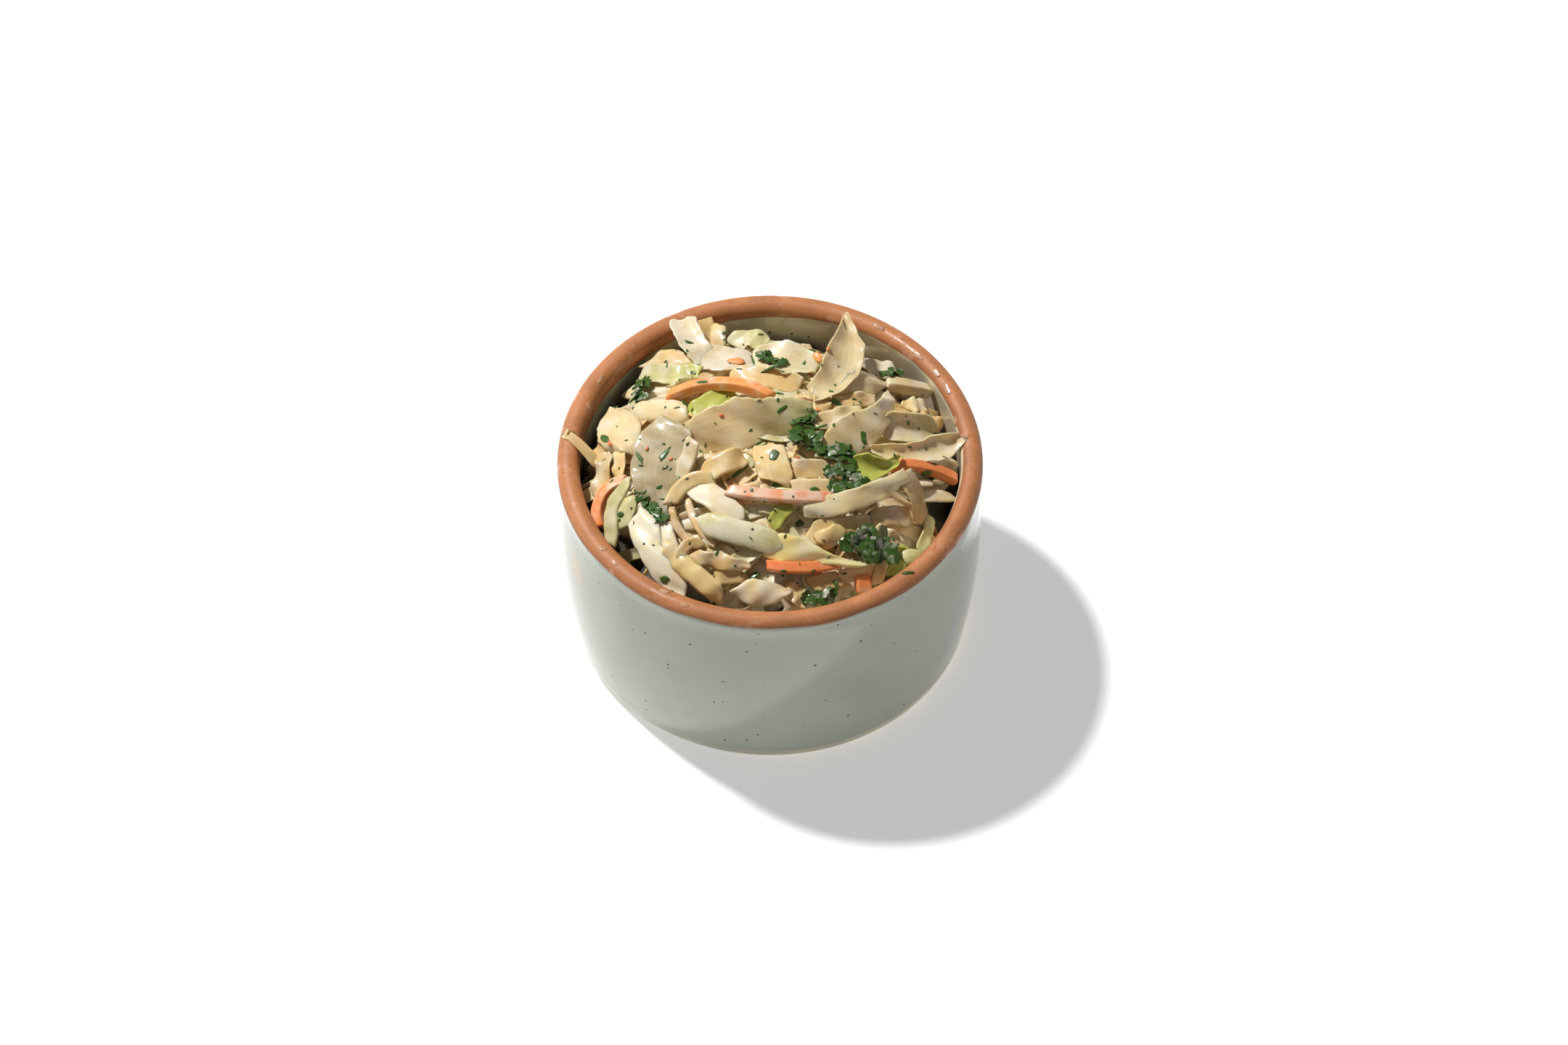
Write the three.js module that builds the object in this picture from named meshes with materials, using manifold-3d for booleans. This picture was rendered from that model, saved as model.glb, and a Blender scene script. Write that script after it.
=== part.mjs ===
// Coleslaw in its small stoneware bowl.
// The frame is millimetres with +Z up. Its origin is the middle of the bowl's foot, and -Y is the front.
import * as THREE from 'three';
import { mergeVertices } from 'three/addons/utils/BufferGeometryUtils.js';
import Module from 'manifold-3d';

// ---- Driving dimensions, in millimetres ----

// The bowl: a thrown cup of stoneware with a rounded, bare clay lip.
const BOWL = {
  height: 62,
  lipRadius: 55, // outside of the lip
  lipWall: 5.8, // lip thickness, rounded over its top
  collarRadius: 54.75, // just under the lip
  collarHeight: 57.9,
  neckRadius: 54.75,
  neckHeight: 51,
  bellyRadius: 54.75,
  bellyHeight: 33,
  heelRadius: 53.2, // the wall draws in towards the foot
  heelHeight: 12,
  footRadius: 48.4, // outside of the flat ring that the bowl stands on
  footFlare: 3.6, // the foot rounds outwards by this much
  footRounding: 3.7, // over this height
  ringWidth: 13,
  recess: 1.2, // shallow hollow inside the foot ring
  floor: 7.5,
  innerRounding: 14,
};

// The heap of slaw: a low dome that meets the wall below the lip and stands proud in the middle.
const HEAP = {
  radius: 49,
  wallHeight: 54,
  topHeight: 70,
  coreCover: 1.4, // the core stands this far up into the pieces on show
  coreWallDrop: 4, // and falls this far below them at the wall
  coreBump: 1.1, // height of the core's bumps
  bumpLength: 15, // and the length of one
  bumplessEdge: 1, // the core has no bumps this close to the wall
  brimShare: 1.15, // the heap's surface is level beyond this share of its radius, squared
};

// Shreds laid at random over the core.
const SCATTER = {
  seed: 41,
  rings: [[3, 14], [5, 26], [7, 36]], // how many lie how far out
  strayOut: 3,
  strayRound: 0.2,
  long: [9, 14],
  wide: [3, 4.4],
  lift: [0.6, 1.4],
  bow: 50,
  thick: 1.3,
};

const GAP = 0.3; // between the slaw and the bowl
const OVERHANG = 6; // how far a piece may reach out over the lip
const HEADROOM = 30; // how far the heap may stand above the lip

const BOWL_STEPS = 36; // facets round the bowl
const CORE_STEPS = 32; // facets round the core
const CORE_RINGS = 6; // facets from the core's edge to its middle
const STEP_LENGTH = 4.2; // length of one facet along a shred

const VIEW_RISE = 51.6; // degrees above the level from which the pieces' places are given
const SETTLING_STEPS = 20; // turns of the loop that brings such a place onto the heap
const BEND_STEPS = 8; // steps in which the length of a bend is measured

const WIDE = 6.3; // a wider leaf bends across its width as well
const EDGE_THINNING = 0.35; // a leaf's edge is thinner than its middle by this share
const END_SHARE = 0.28; // share of a piece's length over which each end narrows
const CUP_LEVEL = 0.35; // a cupped leaf turns about this share of its depth
const RUFFLES = 2.2; // waves along each long edge of a ruffled leaf
const RUFFLE_SHIFT = 1.9; // radians by which one edge's waves trail the other's
const ORDER_SHIFT = 1.7; // radians by which each piece's waves trail those of the piece before

// Thickness of each kind of piece, and the share of its width left at its two ends.
const STOCK = {
  leaf: { thick: 1.0, ends: [0.6, 0.6] },
  rib: { thick: 2.0, ends: [0.6, 0.6] },
  stem: { thick: 3.0, ends: [0.85, 0.6] },
  carrot: { thick: 3.0, ends: [0.92, 0.92] },
  parsley: { thick: 0.7, ends: [0.5, 0.5] },
};

// ---- Shape helpers ----

const degrees = (angle) => THREE.MathUtils.degToRad(angle);

// Repeatable random numbers from 0 to 1.
function seeded(seed) {
  let state = seed >>> 0;
  return () => {
    state = (Math.imul(state, 1664525) + 1013904223) >>> 0;
    return state / 4294967296;
  };
}

// Points of an elliptical arc in the (radius, height) plane.
function arc(centreR, centreZ, radiusR, radiusZ, from, to, steps) {
  const curve = new THREE.EllipseCurve(
    centreR, centreZ, radiusR, radiusZ, degrees(from), degrees(to), to < from);
  return curve.getPoints(steps);
}

// A profile of (radius, height) points turned round the Z axis.
function turned(profile, steps) {
  return new THREE.LatheGeometry(profile, steps).rotateX(Math.PI / 2);
}

// Height of the heap's surface over a point of the plan.
function heapHeight(x, y) {
  const share = Math.min((x * x + y * y) / HEAP.radius ** 2, HEAP.brimShare);
  return HEAP.wallHeight + (HEAP.topHeight - HEAP.wallHeight) * (1 - share);
}

// The heap's upward normal over a point of the plan.
function heapNormal(x, y) {
  const fall = (2 * (HEAP.topHeight - HEAP.wallHeight)) / HEAP.radius ** 2;
  return new THREE.Vector3(fall * x, fall * y, 1).normalize();
}

// ---- The bowl ----

function bowlInnerRadius() {
  return BOWL.lipRadius - BOWL.lipWall;
}

function bowlProfile() {
  const halfLip = BOWL.lipWall / 2;
  const lipCentre = BOWL.lipRadius - halfLip;
  const lipBase = BOWL.height - halfLip;
  const inner = bowlInnerRadius();
  const ringInside = BOWL.footRadius - BOWL.ringWidth;
  const wall = new THREE.SplineCurve([
    new THREE.Vector2(BOWL.footRadius + BOWL.footFlare, BOWL.footRounding),
    new THREE.Vector2(BOWL.heelRadius, BOWL.heelHeight),
    new THREE.Vector2(BOWL.bellyRadius, BOWL.bellyHeight),
    new THREE.Vector2(BOWL.neckRadius, BOWL.neckHeight),
    new THREE.Vector2(BOWL.collarRadius, BOWL.collarHeight),
  ]);
  return [
    new THREE.Vector2(0, BOWL.recess),
    new THREE.Vector2(ringInside - BOWL.recess, BOWL.recess),
    new THREE.Vector2(ringInside, 0),
    ...arc(BOWL.footRadius, BOWL.footRounding, BOWL.footFlare, BOWL.footRounding, -90, -22, 3),
    ...wall.getPoints(6),
    ...arc(lipCentre, lipBase, halfLip, halfLip, 0, 180, 8),
    new THREE.Vector2(inner, BOWL.bellyHeight),
    ...arc(inner - BOWL.innerRounding, BOWL.floor + BOWL.innerRounding,
      BOWL.innerRounding, BOWL.innerRounding, 0, -90, 4),
    new THREE.Vector2(0, BOWL.floor),
  ];
}

// ---- The heap's core, and the room that the bowl leaves for the slaw ----

// The space inside the bowl and above it, clear of the clay by the gap.
function roomProfile() {
  const inner = bowlInnerRadius() - GAP;
  const rounding = BOWL.innerRounding - GAP;
  const floor = BOWL.floor + GAP;
  const halfLip = BOWL.lipWall / 2 + GAP;
  const lipCentre = BOWL.lipRadius - BOWL.lipWall / 2;
  const lipBase = BOWL.height - BOWL.lipWall / 2;
  const outside = BOWL.lipRadius + OVERHANG;
  const above = BOWL.height + HEADROOM;
  return [
    new THREE.Vector2(0, floor),
    ...arc(inner - rounding, floor + rounding, rounding, rounding, -90, 0, 4),
    ...arc(lipCentre, lipBase, halfLip, halfLip, 180, 40, 6),
    new THREE.Vector2(outside, BOWL.height + GAP),
    new THREE.Vector2(outside, above),
    new THREE.Vector2(0, above),
  ];
}

// A bumpy dome that fills the bowl up to just below the pieces on show.
function coreGeometry() {
  const inner = bowlInnerRadius() - GAP;
  const rounding = BOWL.innerRounding - GAP;
  const floor = BOWL.floor + GAP;
  const dome = [new THREE.Vector2(inner, heapHeight(inner, 0) - HEAP.coreWallDrop)];
  for (let ring = 1; ring <= CORE_RINGS; ring += 1) {
    const radius = inner * (1 - ring / CORE_RINGS);
    dome.push(new THREE.Vector2(radius, heapHeight(radius, 0) + HEAP.coreCover));
  }
  const geometry = turned([
    new THREE.Vector2(0, floor),
    ...arc(inner - rounding, floor + rounding, rounding, rounding, -90, 0, 4),
    ...dome,
  ], CORE_STEPS);
  const position = geometry.getAttribute('position');
  const turns = (2 * Math.PI) / HEAP.bumpLength;
  for (let i = 0; i < position.count; i += 1) {
    const x = position.getX(i);
    const y = position.getY(i);
    const z = position.getZ(i);
    if (z > BOWL.neckHeight && Math.hypot(x, y) < inner - HEAP.bumplessEdge) {
      position.setZ(i, z + HEAP.coreBump * Math.sin(turns * x) * Math.cos(turns * y));
    }
  }
  return geometry;
}

// ---- Shreds, leaves, sticks and sprigs ----

// Each piece is described by its own sizes:
//   near, far  its two ends, as [right, up] of the middle of the lip's plane
//           when that is seen VIEW_RISE above the level
//   wide    its full width
//   lift    height of its middle over the heap's surface
//   rise    how much higher its far end lies than its near end
//   arch    how much higher its middle lies than its ends
//   bow     sideways curve over its whole length, in degrees
//   hook    further curve over its second half, in degrees
//   roll    tilt about its length, in degrees, left side up
//   cup     how far its long edges stand above its middle
//   ruffle  height of the waves along its long edges
//   ends    share of the width left at the near and far end
//   shape   shares of the width at even steps from end to end, where the ends alone don't give them
const PLAIN = { rise: 0, arch: 0.8, bow: 0, hook: 0, roll: 0, cup: 0, ruffle: 0 };

// Plan of the place `lift` above the heap that is seen at [right, up].
function placeOnHeap([right, up], lift) {
  let y = 0;
  for (let i = 0; i < SETTLING_STEPS; i += 1) {
    const above = heapHeight(right, y) + lift - BOWL.height;
    y = (up - above * Math.cos(degrees(VIEW_RISE))) / Math.sin(degrees(VIEW_RISE));
  }
  return new THREE.Vector2(right, y);
}

const piece = (kind) => (near, far, wide, lift, more = {}) => {
  const p = { ...PLAIN, ...STOCK[kind], ...more, kind, wide, lift };
  p.near = placeOnHeap(near, lift - p.arch - p.rise / 2);
  p.far = placeOnHeap(far, lift - p.arch + p.rise / 2);
  return p;
};
const leaf = piece('leaf');
const rib = piece('rib');
const stem = piece('stem');
const carrot = piece('carrot');
const parsley = piece('parsley');

// Plan of a line one millimetre long that starts along +X and bends to its left as the piece does.
function bentPlan(p, steps) {
  const plan = [new THREE.Vector2(0, 0)];
  for (let i = 0; i < steps; i += 1) {
    const t = (i + 0.5) / steps;
    const heading = degrees(p.bow * t + p.hook * Math.max(0, 2 * t - 1) ** 2);
    const step = new THREE.Vector2(Math.cos(heading), Math.sin(heading)).divideScalar(steps);
    plan.push(plan[i].clone().add(step));
  }
  return plan;
}

// Length of a piece, from the distance between its ends and its bend.
const lengthOf = (p) => p.near.distanceTo(p.far) / bentPlan(p, BEND_STEPS)[BEND_STEPS].length();

// Points down the middle line of a piece, which follows the heap.
function middleLine(p, steps) {
  const plan = bentPlan(p, steps);
  const end = plan[steps].clone();
  const chord = p.far.clone().sub(p.near);
  const turn = chord.angle() - end.angle();
  const origin = new THREE.Vector2(0, 0);
  return plan.map((point, i) => {
    const t = i / steps - 0.5;
    const at = point.clone().rotateAround(origin, turn);
    at.multiplyScalar(chord.length() / end.length()).add(p.near);
    const lift = p.lift + p.rise * t - 4 * p.arch * t * t;
    return new THREE.Vector3(at.x, at.y, heapHeight(at.x, at.y) + lift);
  });
}

// Share of the full width at t, from 0 at the near end to 1 at the far end.
function widthShare(p, t) {
  if (p.shape) {
    const at = t * (p.shape.length - 1);
    const before = Math.min(Math.floor(at), p.shape.length - 2);
    return THREE.MathUtils.lerp(p.shape[before], p.shape[before + 1], at - before);
  }
  const narrowing = (end, gone) => end + (1 - end) * Math.sqrt(Math.max(0, 1 - gone * gone));
  if (t < END_SHARE) return narrowing(p.ends[0], 1 - t / END_SHARE);
  if (t > 1 - END_SHARE) return narrowing(p.ends[1], 1 - (1 - t) / END_SHARE);
  return 1;
}

// A bent, closed strip: the same grid of facets on both faces, joined round its edge.
function stripGeometry(p, order) {
  const steps = Math.max(4, 2 * Math.round(lengthOf(p) / STEP_LENGTH / 2));
  const square = p.kind === 'carrot' || p.kind === 'stem';
  const across = p.wide > WIDE && !square ? 2 : 1;
  const line = middleLine(p, steps);
  const faces = [[], []];
  line.forEach((point, i) => {
    const t = i / steps;
    const along = line[Math.min(i + 1, steps)].clone().sub(line[Math.max(i - 1, 0)]).normalize();
    const side = heapNormal(point.x, point.y).cross(along).normalize();
    const up = along.clone().cross(side);
    side.applyAxisAngle(along, degrees(p.roll));
    up.applyAxisAngle(along, degrees(p.roll));
    for (let j = 0; j <= across; j += 1) {
      const s = (2 * j) / across - 1;
      const shift = order * ORDER_SHIFT + (s > 0 ? 0 : RUFFLE_SHIFT);
      const wave = Math.sin(2 * Math.PI * RUFFLES * t + shift);
      const bend = across > 1 ? p.cup * (s * s - CUP_LEVEL) + p.ruffle * wave * Math.abs(s) : 0;
      const thinned = square ? 1 : 1 - EDGE_THINNING * s * s;
      const at = point.clone()
        .addScaledVector(side, (s * p.wide * widthShare(p, t)) / 2)
        .addScaledVector(up, bend);
      faces[0].push(at.clone().addScaledVector(up, (p.thick * thinned) / 2));
      faces[1].push(at.clone().addScaledVector(up, (-p.thick * thinned) / 2));
    }
  });
  const row = across + 1;
  const under = faces[0].length;
  const index = [];
  const quad = (a, b, c, d) => index.push(a, b, c, a, c, d);
  for (let i = 0; i < steps; i += 1) {
    for (let j = 0; j < across; j += 1) {
      const near = i * row + j;
      const far = near + row;
      index.push(near, far, far + 1, near, far + 1, near + 1);
      const [low, beyond] = [near + under, far + under];
      index.push(low, beyond + 1, beyond, low, low + 1, beyond + 1);
    }
    const right = i * row;
    const left = right + across;
    quad(right, right + under, right + row + under, right + row);
    quad(left, left + row, left + row + under, left + under);
  }
  for (let j = 0; j < across; j += 1) {
    const near = j;
    const far = steps * row + j;
    quad(near, near + 1, near + 1 + under, near + under);
    quad(far, far + under, far + 1 + under, far + 1);
  }
  return new THREE.BufferGeometry()
    .setFromPoints([...faces[0], ...faces[1]])
    .setIndex(index);
}

// ---- The pieces on show ----

const BACK = [
  // tongue that leans on the lip, with a tan scrap and a small block behind it
  leaf([-23, 35.5], [-16.5, 24.5], 7.5, 7, { rise: -8.5, bow: 30, roll: -4, cup: 0.6, ends: [0.4, 0.95] }),
  leaf([-17, 35.5], [-16.5, 29.5], 4.5, 5.5, { rise: -6, bow: -20, roll: -10, ends: [0.9, 0.4] }),
  leaf([-13.5, 34], [-13.5, 27.5], 4.5, 4, { rise: -5, thick: 1.6, ends: [0.25, 0.5] }),
  // green-edged ruffle, long white leaf and cream sheet
  leaf([-10, 29], [-1, 28.5], 6, 3, { bow: -80, roll: 25, ruffle: 0.7 }),
  leaf([-4.5, 24.5], [12.5, 22.5], 11.5, 4,
    { arch: 1.5, bow: -10, roll: 18, cup: 0.8, ruffle: 0.4,
      shape: [0.5, 0.75, 0.95, 1, 0.9, 0.65, 0.3] }),
  leaf([-18, 25.5], [-2.5, 24.5], 9, 3,
    { bow: 40, roll: 14, cup: -0.5, shape: [0.95, 1, 1, 0.9, 0.8, 0.65, 0.5] }),
  // folded cream leaf, the fold under it and a pale ring
  leaf([-34, 23], [-20, 24.5], 7, 3,
    { bow: -25, roll: 18, cup: -0.8, shape: [0.2, 0.6, 0.95, 1, 0.9, 0.6, 0.25] }),
  leaf([-33.5, 22], [-18, 21.5], 6, 2, { bow: 60, roll: 25, ends: [0.2, 0.5] }),
  rib([-25.5, 17.5], [-20, 20], 2, 2.2, { bow: -90, thick: 1.3 }),
  rib([-36, 11], [-21, 10.5], 6.5, 2.5, { bow: -10, roll: 18, cup: -0.6, ends: [0.3, 0.4] }),
  // long arched carrot and the yellow leaf under it
  carrot([-26.5, 15], [0.5, 15], 3, 5, { arch: 2, bow: -40 }),
  leaf([-20.5, 10.5], [-8.5, 16], 6, 2, { roll: 22, ruffle: 0.4, ends: [0.4, 0.4] }),
  leaf([-10.5, 20.5], [8, 18], 6, 2, { roll: 30, ends: [0.4, 0.7] }),
  // tall pointed leaf and the piece at its foot
  leaf([19.5, 37], [10.5, 15.5], 10.5, 8,
    { rise: -11.5, arch: -0.8, bow: -45, hook: -35, roll: -6, cup: 0.9, ruffle: 0.3,
      shape: [0.05, 0.4, 0.65, 0.9, 1, 1, 0.85, 0.75, 0.6] }),
  leaf([13, 17], [13.5, 10.5], 5, 3, { rise: -1, roll: -5, ruffle: 0.6, ends: [0.6, 0.6] }),
  // folded leaf in shade, square-cut stick and a lump under dressing
  leaf([16, 15.5], [30, 18], 8, 4.5,
    { arch: 1.9, bow: -10, roll: 34, cup: -0.8, shape: [0.2, 0.5, 0.8, 1, 0.9, 0.65, 0.3] }),
  stem([30, 18.5], [41.5, 16.5], 3.6, 3, { bow: 20, thick: 3.2 }),
  leaf([25, 22.5], [33.5, 20.5], 8, 2,
    { rise: -0.5, bow: -10, roll: 10, cup: -0.6, ruffle: 0.4, ends: [0.4, 0.3] }),
  leaf([15.5, 13], [27, 14.5], 4, 3, { bow: 10, roll: 20, ruffle: 0.5 }),
  leaf([35, 12], [40, 12.5], 5, 2.5, { roll: 10, ruffle: 0.6, ends: [0.4, 0.5] }),
  leaf([37.5, 9.5], [44.5, 7], 4.5, 2.5, { bow: -20, roll: 18, ruffle: 0.8, ends: [0.5, 0.4] }),
];

const MIDDLE = [
  // cupped leaf, white ruffled leaf, large flecked leaf and the trough that reaches the lip
  leaf([28.5, 7.5], [42.5, 6], 8, 2.5, { arch: 0, roll: 28, cup: 1.6, ends: [0.4, 0.25] }),
  leaf([11, 8], [24, 11], 5, 3, { bow: 10, roll: 20, ruffle: 0.6, ends: [0.8, 0.5] }),
  leaf([31.5, 14.5], [12.5, 2.5], 11, 5,
    { rise: -2, bow: -60, roll: -30, cup: -0.8, shape: [0.4, 0.65, 0.65, 0.8, 1, 1, 0.8, 0.45] }),
  leaf([26, 1.5], [49.5, 5], 7.5, 3,
    { rise: 5, arch: -2.4, bow: 40, roll: 12, cup: 1,
      shape: [0.3, 0.6, 0.7, 0.75, 0.8, 1, 1, 0.7, 0.4] }),
  carrot([30.5, -3], [48, -6.5], 2.9, 2.5, { arch: 0.6, bow: -30 }),
  // broad pale leaf, its left part and the folded lobe
  leaf([-20.5, 4.5], [11, 11], 14, 4.5,
    { arch: 1.2, bow: 10, roll: 46, cup: -0.6, ruffle: 0.5,
      shape: [0.6, 0.8, 0.85, 0.9, 1, 0.9, 0.75, 0.7, 0.7, 0.55, 0.4] }),
  leaf([-24, 8.5], [-28, -15.5], 15, 5,
    { rise: -4.5, arch: 1.2, bow: 50, roll: -14, cup: -0.6, ruffle: 0.4,
      shape: [0.65, 0.85, 0.95, 1, 1, 0.9, 0.75, 0.55, 0.25] }),
  leaf([-41, 12.5], [-37.5, 0.5], 12, 4.5,
    { rise: -1, roll: -8, cup: -1.4, shape: [0.2, 0.6, 0.9, 1, 1, 0.8, 0.35] }),
  // yellow-green curl
  leaf([20, -2.5], [33.5, 0], 8, 4,
    { rise: 2, bow: 90, roll: 20, cup: 1.2, shape: [0.6, 0.9, 1, 0.65, 0.4, 0.35, 0.15] }),
  leaf([5, -4], [19.5, -4.5], 5.5, 2, { roll: 12 }),
  leaf([-1, 2.5], [2, -7], 9, 3, { roll: 8, cup: -0.9, ends: [0.6, 0.5] }),
  rib([5.5, -8], [22.5, -9], 4.2, 3, { bow: 10, roll: 22, ends: [0.8, 0.6] }),
  // fan, standing strip, hooked shred, flat slice and two curly shreds
  leaf([-17.5, -5], [-6.5, 0], 6, 4, { bow: 10, roll: 14, thick: 1.3, ends: [0.2, 0.7] }),
  leaf([-19.5, 4], [-23.5, -6.5], 4.4, 5.5, { rise: -3.5, bow: -20, roll: -6, thick: 1.4 }),
  leaf([-14, -6.5], [-25.5, -12.5], 4, 4.5,
    { arch: 1.2, bow: 90, roll: -20, thick: 1.5, ends: [0.4, 0.9] }),
  rib([-19.5, -8], [-8, -17], 7, 4, { bow: -10, roll: -8, thick: 1.5, ends: [0.7, 0.25] }),
  leaf([-25, -13], [-14.5, -25], 2.2, 3.5, { rise: -1.4, bow: 80, thick: 1.3 }),
  leaf([-21, -11], [-14, -23], 2.2, 2.5, { bow: 50, thick: 1.3 }),
  // long level carrot and oval slice
  carrot([-11, -9], [16, -11], 3.2, 4.7, { bow: 30, thick: 3.2 }),
  rib([-18.5, -17], [3.5, -23], 6.6, 5,
    { arch: 1, bow: 15, roll: 16, cup: -0.6, thick: 2.4, ends: [0.3, 0.4] }),
  // left edge: folded shreds, twig on the lip and hooked carrot
  leaf([-44.5, 2], [-45.5, -10.5], 5, 3.5, { rise: -1.5, bow: -70, ruffle: 0.8, ends: [0.6, 0.35] }),
  leaf([-38.5, 2], [-39, -6], 4, 3.5, { ruffle: 0.6 }),
  stem([-53, 6], [-44.5, -2.5], 2.8, 7, { rise: -8.5, bow: -10, thick: 2.6 }),
  carrot([-37, -6.5], [-43.5, -18.5], 3.2, 3, { rise: -1, arch: 1.2, bow: 120 }),
];

const FRONT = [
  // long tapering leaf with a carrot under it
  leaf([-1.5, -23], [28, -26], 8, 5,
    { rise: -0.5, arch: 1.7, bow: 10, hook: 60, roll: 20, cup: -0.8,
      shape: [0.7, 1, 0.95, 0.6, 0.35, 0.25, 0.2, 0.2] }),
  carrot([-1, -28], [17.5, -27.5], 2.9, 3.2, { bow: 40 }),
  leaf([9.5, -19.5], [26, -18], 7, 2.2, { bow: 30, roll: 14, ends: [0.6, 0.5] }),
  leaf([12, -22], [19, -19], 5.5, 3, { bow: 40, roll: 20, cup: -1, ends: [0.4, 0.7] }),
  // looped ribbon, its falling end and what lies under it
  leaf([8.5, -14], [35, -5], 6, 6.5,
    { rise: 4, arch: 0.9, bow: 45, roll: 18, cup: -0.6, ruffle: 0.3,
      shape: [0.6, 0.95, 1, 0.95, 0.95, 0.95, 0.75, 0.7] }),
  leaf([34, -4.5], [38.5, -18], 8.5, 4.5,
    { rise: -8, arch: 1.5, bow: -70, roll: -20, cup: -0.9, ends: [0.75, 0.4] }),
  leaf([25, -17], [36.5, -16.5], 5.5, 2.2, { bow: -20, roll: 16, ends: [0.5, 0.5] }),
  leaf([41, -15.5], [38, -25], 3.5, 0, { rise: -1, bow: -30, roll: -10 }),
  rib([34, -26.5], [38.5, -26.5], 4, 0.5, { ends: [0.4, 0.4] }),
  leaf([35.5, -23.5], [31, -31], 4.5, -0.5, { rise: -0.8, ends: [0.8, 0.5] }),
  leaf([26, -19], [33, -22.5], 4.5, 2, { bow: 20, roll: 14, ruffle: 0.8, ends: [0.6, 0.4] }),
  leaf([28.5, -26.5], [27, -33], 3.5, 2.2, { rise: -1, bow: -10, ends: [0.9, 0.6] }),
  carrot([23, -30], [24, -35], 4.2, 1.2),
  leaf([17, -31], [28.5, -27.5], 4, 2.6, { bow: 40, roll: 30, ends: [0.8, 0.6] }),
  leaf([10, -33], [18, -31.5], 4.5, 1.6, { bow: 20, roll: 10 }),
  leaf([5.5, -13], [0.5, -18.5], 4, 2.8, { bow: 30, ends: [0.9, 0.3] }),
  leaf([-3.5, -13.5], [2, -14.5], 2.8, 2.6, { ends: [0.5, 0.6] }),
  // glossy leaf, long ribbon and the ruffled pieces beside them
  leaf([-33, -13], [-21.5, -35], 8.5, 4.5,
    { rise: -2, arch: 1.2, bow: 55, cup: -1.3, shape: [0.3, 0.95, 1, 0.85, 0.9, 0.9, 0.8, 0.4] }),
  leaf([-27.5, -17], [-24, -28], 5.2, 3.5, { bow: 20, cup: -0.5 }),
  leaf([-27, -23.5], [-12, -36.5], 5.5, 4.5,
    { rise: -2, arch: 1.2, bow: 20, cup: -0.8, thick: 1.5, ends: [0.8, 0.5] }),
  leaf([-21, -25.5], [-5, -28.5], 5, 4.6,
    { rise: -0.8, bow: 15, roll: 20, cup: -0.5, ruffle: 0.9,
      shape: [0.35, 0.8, 0.8, 1, 0.75, 0.7, 0.2] }),
  leaf([-17.5, -23.5], [-22.5, -27.5], 3, 5, { bow: 170, roll: -20, thick: 1.3 }),
  leaf([-14, -31], [-6.5, -30], 4, 2.5, { bow: 50, roll: 10 }),
  // bottom leaf, its ruffle and the sliver at the lip
  leaf([-9.5, -34], [4.5, -35.5], 7.5, 2.2,
    { bow: 30, roll: 16, cup: -1.2, shape: [0.3, 0.8, 1, 0.9, 0.7, 0.25] }),
  leaf([3.5, -34], [9.5, -37.5], 5, 0.8, { rise: -0.6, bow: 10, ruffle: 0.6 }),
  leaf([5, -39.5], [18, -36], 2.2, -0.5, { bow: 10, roll: 10, ends: [0.4, 0.4] }),
  // pale green arm and its flap
  leaf([-35.5, -7], [-40.5, -23], 4.2, 4.6, { rise: -2.2, arch: 1.4, bow: 110, hook: -40, thick: 1.4 }),
  leaf([-36, -10.5], [-38.5, -19], 5.5, 4.2, { rise: -1.2, cup: -1, ends: [0.8, 0.4] }),
];

const HERBS = [
  parsley([-34.5, -9], [-27.5, -17], 2.2, 4.4, { arch: 0.4, bow: 10 }),
  parsley([-33, 19.5], [-34, 13.5], 4, 2.4, { bow: 20 }),
  parsley([5, 8], [11, 8.5], 5, 3, { arch: 1.6, bow: 40, ruffle: 0.7 }),
  parsley([6, 3.5], [12, 3.5], 5.4, 4, { bow: -20, ruffle: 0.4, thick: 1.2 }),
  parsley([12, 0.5], [20, 0.5], 5.6, 3.6, { ruffle: 0.5 }),
  parsley([14.5, -5.5], [21.5, -5.5], 4.6, 4.8, { bow: -60, ruffle: 0.5 }),
  parsley([15.5, -9], [24.5, -9], 3.8, 5, { bow: -30 }),
  parsley([18.5, -23.5], [29.5, -24.5], 8, 5.5,
    { arch: 1.1, bow: -30, roll: 16, cup: -0.8, ends: [0.7, 0.2] }),
  parsley([8, -37], [16.5, -35.5], 4, 1, { bow: 30 }),
  parsley([28.5, 20.5], [34.5, 20.5], 3, 4),
  parsley([-3.5, 26.5], [3.5, 23.5], 3, 4.6, { bow: 30, ends: [0.5, 0.3] }),
];

// Short shreds laid at random over the core, in even rings, to fill between the pieces on show.
function scatteredShreds() {
  const random = seeded(SCATTER.seed);
  const between = (low, high) => low + (high - low) * random();
  const shreds = [];
  for (const [count, radius] of SCATTER.rings) {
    for (let i = 0; i < count; i += 1) {
      const angle = degrees((360 * (i + between(-SCATTER.strayRound, SCATTER.strayRound))) / count);
      const out = radius + between(-SCATTER.strayOut, SCATTER.strayOut);
      const middle = new THREE.Vector2(out * Math.cos(angle), out * Math.sin(angle));
      const turn = degrees(between(0, 360));
      const half = new THREE.Vector2(Math.cos(turn), Math.sin(turn));
      half.multiplyScalar(between(...SCATTER.long) / 2);
      shreds.push({
        ...PLAIN,
        ...STOCK.leaf,
        kind: 'leaf',
        near: middle.clone().sub(half),
        far: middle.clone().add(half),
        wide: between(...SCATTER.wide),
        lift: between(...SCATTER.lift),
        bow: between(-SCATTER.bow, SCATTER.bow),
        thick: SCATTER.thick,
      });
    }
  }
  return shreds;
}

// ---- Joining ----

const wasm = await Module();
wasm.setup();

function solidOf(geometry) {
  const bare = geometry.clone();
  bare.deleteAttribute('normal');
  bare.deleteAttribute('uv');
  const merged = mergeVertices(bare, 1e-4);
  return new wasm.Manifold(new wasm.Mesh({
    numProp: 3,
    vertProperties: merged.getAttribute('position').array,
    triVerts: new Uint32Array(merged.index.array),
  }));
}

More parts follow.
